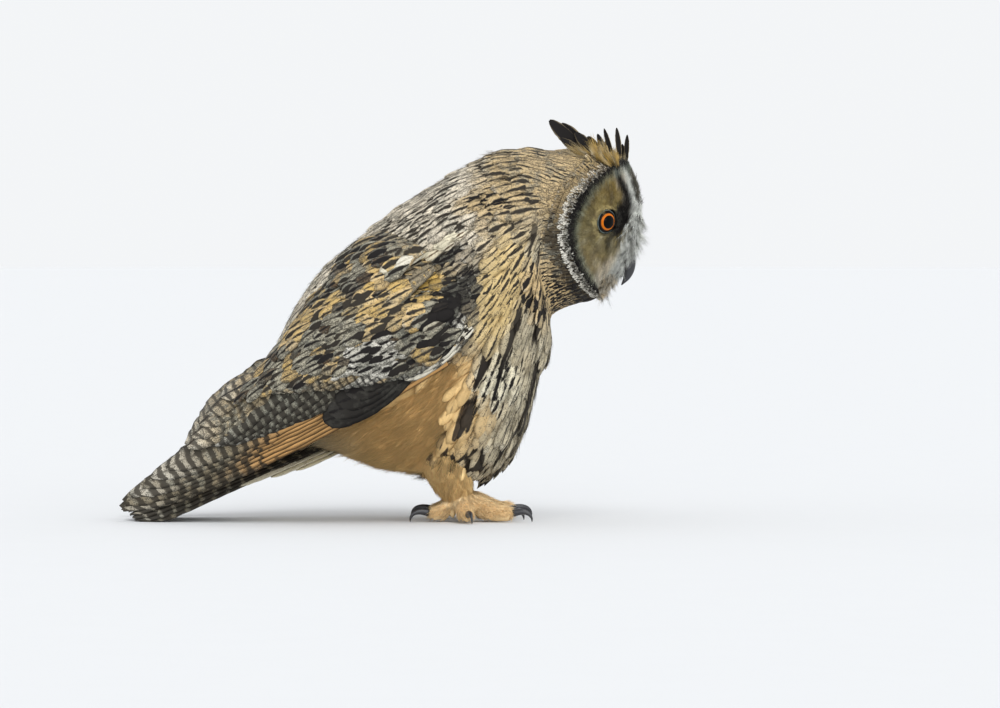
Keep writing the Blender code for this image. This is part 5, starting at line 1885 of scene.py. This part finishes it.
class OWL_OT_stage(bpy.types.Operator):
    """Add the floor, the lights and the camera."""

    bl_idname = "owl.stage"
    bl_label = "Floor, light and camera"

    def execute(self, context):
        stage = context.scene.owl_stage
        bpy.ops.mesh.primitive_circle_add(
            vertices=96, radius=FLOOR_RADIUS, fill_type="NGON", location=(0, 0, 0)
        )
        floor = context.object
        floor.name = "floor"
        graph, finish = new_material("floor")
        clean = tuple(context.scene.owl_colours.floor)
        colour = graph.blend(graph.noise(graph.place(), 30.0) * 0.06, clean, tone(200, 200, 198))
        floor.data.materials.append(finish(colour, 0.9, 0.1))
        world = bpy.data.worlds.new("sky")
        world.use_nodes = True
        sky = world.node_tree.nodes["Background"].inputs
        sky["Color"].default_value = SKY_COLOUR
        sky["Strength"].default_value = stage.sky
        context.scene.world = world
        for (name, spread, heading), strength in zip(LIGHTS, (stage.sun, stage.fill)):
            light = bpy.data.lights.new(name, "SUN")
            light.energy = strength
            light.angle = math.radians(spread)
            aim(link(name, light), heading)
        context.scene.view_settings.view_transform = "Standard"
        pixel = MM_PER_PIXEL * MM
        across, down = (size / 2 - at for size, at in zip(PHOTO_SIZE, PHOTO_FLOOR_PIXEL))
        target = Vector((across * pixel, 0.0, -down * pixel))
        away = Vector((0.0, -math.cos(stage.elevation), math.sin(stage.elevation)))
        data = bpy.data.cameras.new("camera")
        data.sensor_width = SENSOR_WIDTH
        data.lens = SENSOR_WIDTH * stage.distance / (PHOTO_SIZE[0] * pixel)
        data.clip_end = 100.0
        camera = link("camera", data)
        camera.location = target + away * stage.distance
        aim(camera, target - camera.location)
        context.scene.camera = camera
        return {"FINISHED"}


class OWL_OT_finishes(bpy.types.Operator):
    """Make the materials that several pieces share."""

    bl_idname = "owl.finishes"
    bl_label = "Shared finishes"

    def execute(self, context):
        plumage_material()
        skin_material()
        horn_material()
        lid_material()
        return {"FINISHED"}


class OWL_OT_skin(bpy.types.Operator):
    """Make one skin round the head, neck, body, legs and feet."""

    bl_idname = "owl.skin"
    bl_label = "Skin"

    def execute(self, context):
        skin = make_skin(context.scene.owl_coat)
        skin.data.materials.append(bpy.data.materials["skin"])
        slot_in(skin, "body_plumage", *FLESH)
        return {"FINISHED"}


# Coats over the skin: name, shapes, spacing, cover, seed, size, sway, lift and slot.
COATS = (
    ("coat_crown", "head_feathers", 2.6, "cover_head", 1, 1.0, 0.16, 1.0, "face_plumage"),
    ("coat_face", "face_plumes", 1.05, "cover_face", 2, 1.0, 0.10, 0.8, "face_plumage"),
    ("coat_breast", "body_feathers", 4.0, "cover_front", 3, 1.0, 0.14, 1.0, "body_plumage"),
    ("coat_breast_down", "down_plumes", 3.2, "cover_front", 4, 0.9, 0.2, 1.25, "body_plumage"),
    ("coat_mantle", "body_feathers", 3.3, "cover_back", 5, 1.0, 0.16, 1.0, "body_plumage"),
    ("coat_mantle_down", "down_plumes", 3.4, "cover_back", 10, 0.9, 0.16, 1.2, "body_plumage"),
    ("coat_belly", "down_plumes", 1.9, "cover_belly", 6, 1.0, 0.2, 1.0, "body_plumage"),
    ("coat_wings", "body_feathers", 3.2, "cover_wing", 7, 1.0, 0.16, 1.0, "wing_plumage"),
    ("coat_legs", "down_plumes", 1.5, "cover_leg", 8, 1.0, 0.16, 1.0, "leg_plumage"),
    ("coat_feet", "down_plumes", 1.25, "cover_foot", 9, 1.0, 0.12, 1.0, "leg_plumage"),
)


# Coats on single roots: name, roots, shapes, seed and slot.
ROOT_COATS = (
    ("ruff", ruff_roots, "scales", 31, "face_plumage"),
    ("bristles", bristle_roots, "face_plumes", 37, "face_plumage"),
    ("tuft_down", tuft_down_roots, "down_plumes", 43, "tuft_plumage"),
    ("coverts", covert_roots, "body_feathers", 47, "wing_plumage"),
)


class OWL_OT_coat(bpy.types.Operator):
    """Grow the body feathers over the skin with Geometry Nodes."""

    bl_idname = "owl.coat"
    bl_label = "Body feathers"

    def execute(self, context):
        if Skin.object is None:
            raise RuntimeError("the skin comes before its feathers")
        shapes = {name: shape_collection(name, *kind) for name, *kind in SHAPES}
        for name, kind, spacing, cover, seed, swell, sway, lift, slot in COATS:
            skin = Skin.object.data.copy()
            slot_in(grow(name, skin, shapes[kind], seed, spacing, cover, swell, sway, lift), slot)
        for name, roots, kind, seed, slot in ROOT_COATS:
            slot_in(grow(name, roots().mesh(name + "_roots"), shapes[kind], seed), slot)
        for collection in shapes.values():
            for shape in list(collection.objects):
                bpy.data.objects.remove(shape)
            bpy.data.collections.remove(collection)
        return {"FINISHED"}


class OWL_OT_wings(bpy.types.Operator):
    """Build the flight feathers and large coverts of both wings."""

    bl_idname = "owl.wings"
    bl_label = "Wings"

    def execute(self, context):
        for side, word in SIDES:
            slot_in(build_wing(side, word), "wing_plumage", "wing_" + word)
        return {"FINISHED"}


class OWL_OT_tail(bpy.types.Operator):
    """Build the tail feathers and their coverts."""

    bl_idname = "owl.tail"
    bl_label = "Tail"

    def execute(self, context):
        slot_in(build_tail(), "wing_plumage", "tail")
        return {"FINISHED"}


class OWL_OT_tufts(bpy.types.Operator):
    """Build the ear tufts."""

    bl_idname = "owl.tufts"
    bl_label = "Ear tufts"

    def execute(self, context):
        for side, word in SIDES:
            slot_in(build_tuft(side, word), "tuft_plumage", "ear_tuft_" + word)
        return {"FINISHED"}


class OWL_OT_horn(bpy.types.Operator):
    """Build the bill, the claws, the eyes and their lids."""

    bl_idname = "owl.horn"
    bl_label = "Bill, claws and eyes"

    def execute(self, context):
        build_bill()
        build_claws()
        build_eyes()
        return {"FINISHED"}


OPERATORS = (
    OWL_OT_stage, OWL_OT_finishes, OWL_OT_wings, OWL_OT_tail, OWL_OT_skin, OWL_OT_coat, OWL_OT_tufts,
    OWL_OT_horn,
)


class OWL_PT_panel(bpy.types.Panel):
    """The owl's tools in the sidebar."""

    bl_label = "Owl"
    bl_idname = "OWL_PT_panel"
    bl_space_type = "VIEW_3D"
    bl_region_type = "UI"
    bl_category = "Owl"

    def draw(self, context):
        for group in (context.scene.owl_coat, context.scene.owl_colours, context.scene.owl_stage):
            for name in group.__annotations__:
                self.layout.prop(group, name)
        for operator in OPERATORS:
            self.layout.operator(operator.bl_idname)


GROUPS = (("owl_coat", OwlCoat), ("owl_colours", OwlColours), ("owl_stage", OwlStage))


def register():
    for _, group in GROUPS:
        bpy.utils.register_class(group)
    for name, group in GROUPS:
        setattr(bpy.types.Scene, name, bpy.props.PointerProperty(type=group))
    for kind in (*OPERATORS, OWL_PT_panel):
        bpy.utils.register_class(kind)


def unregister():
    for kind in (OWL_PT_panel, *reversed(OPERATORS)):
        bpy.utils.unregister_class(kind)
    for name, group in reversed(GROUPS):
        delattr(bpy.types.Scene, name)
        bpy.utils.unregister_class(group)


def main():
    """Builds the owl round the solid model."""
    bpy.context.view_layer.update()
    register()
    for operator in OPERATORS:
        family, name = operator.bl_idname.split(".")
        getattr(getattr(bpy.ops, family), name)()


if __name__ == "__main__":
    main()
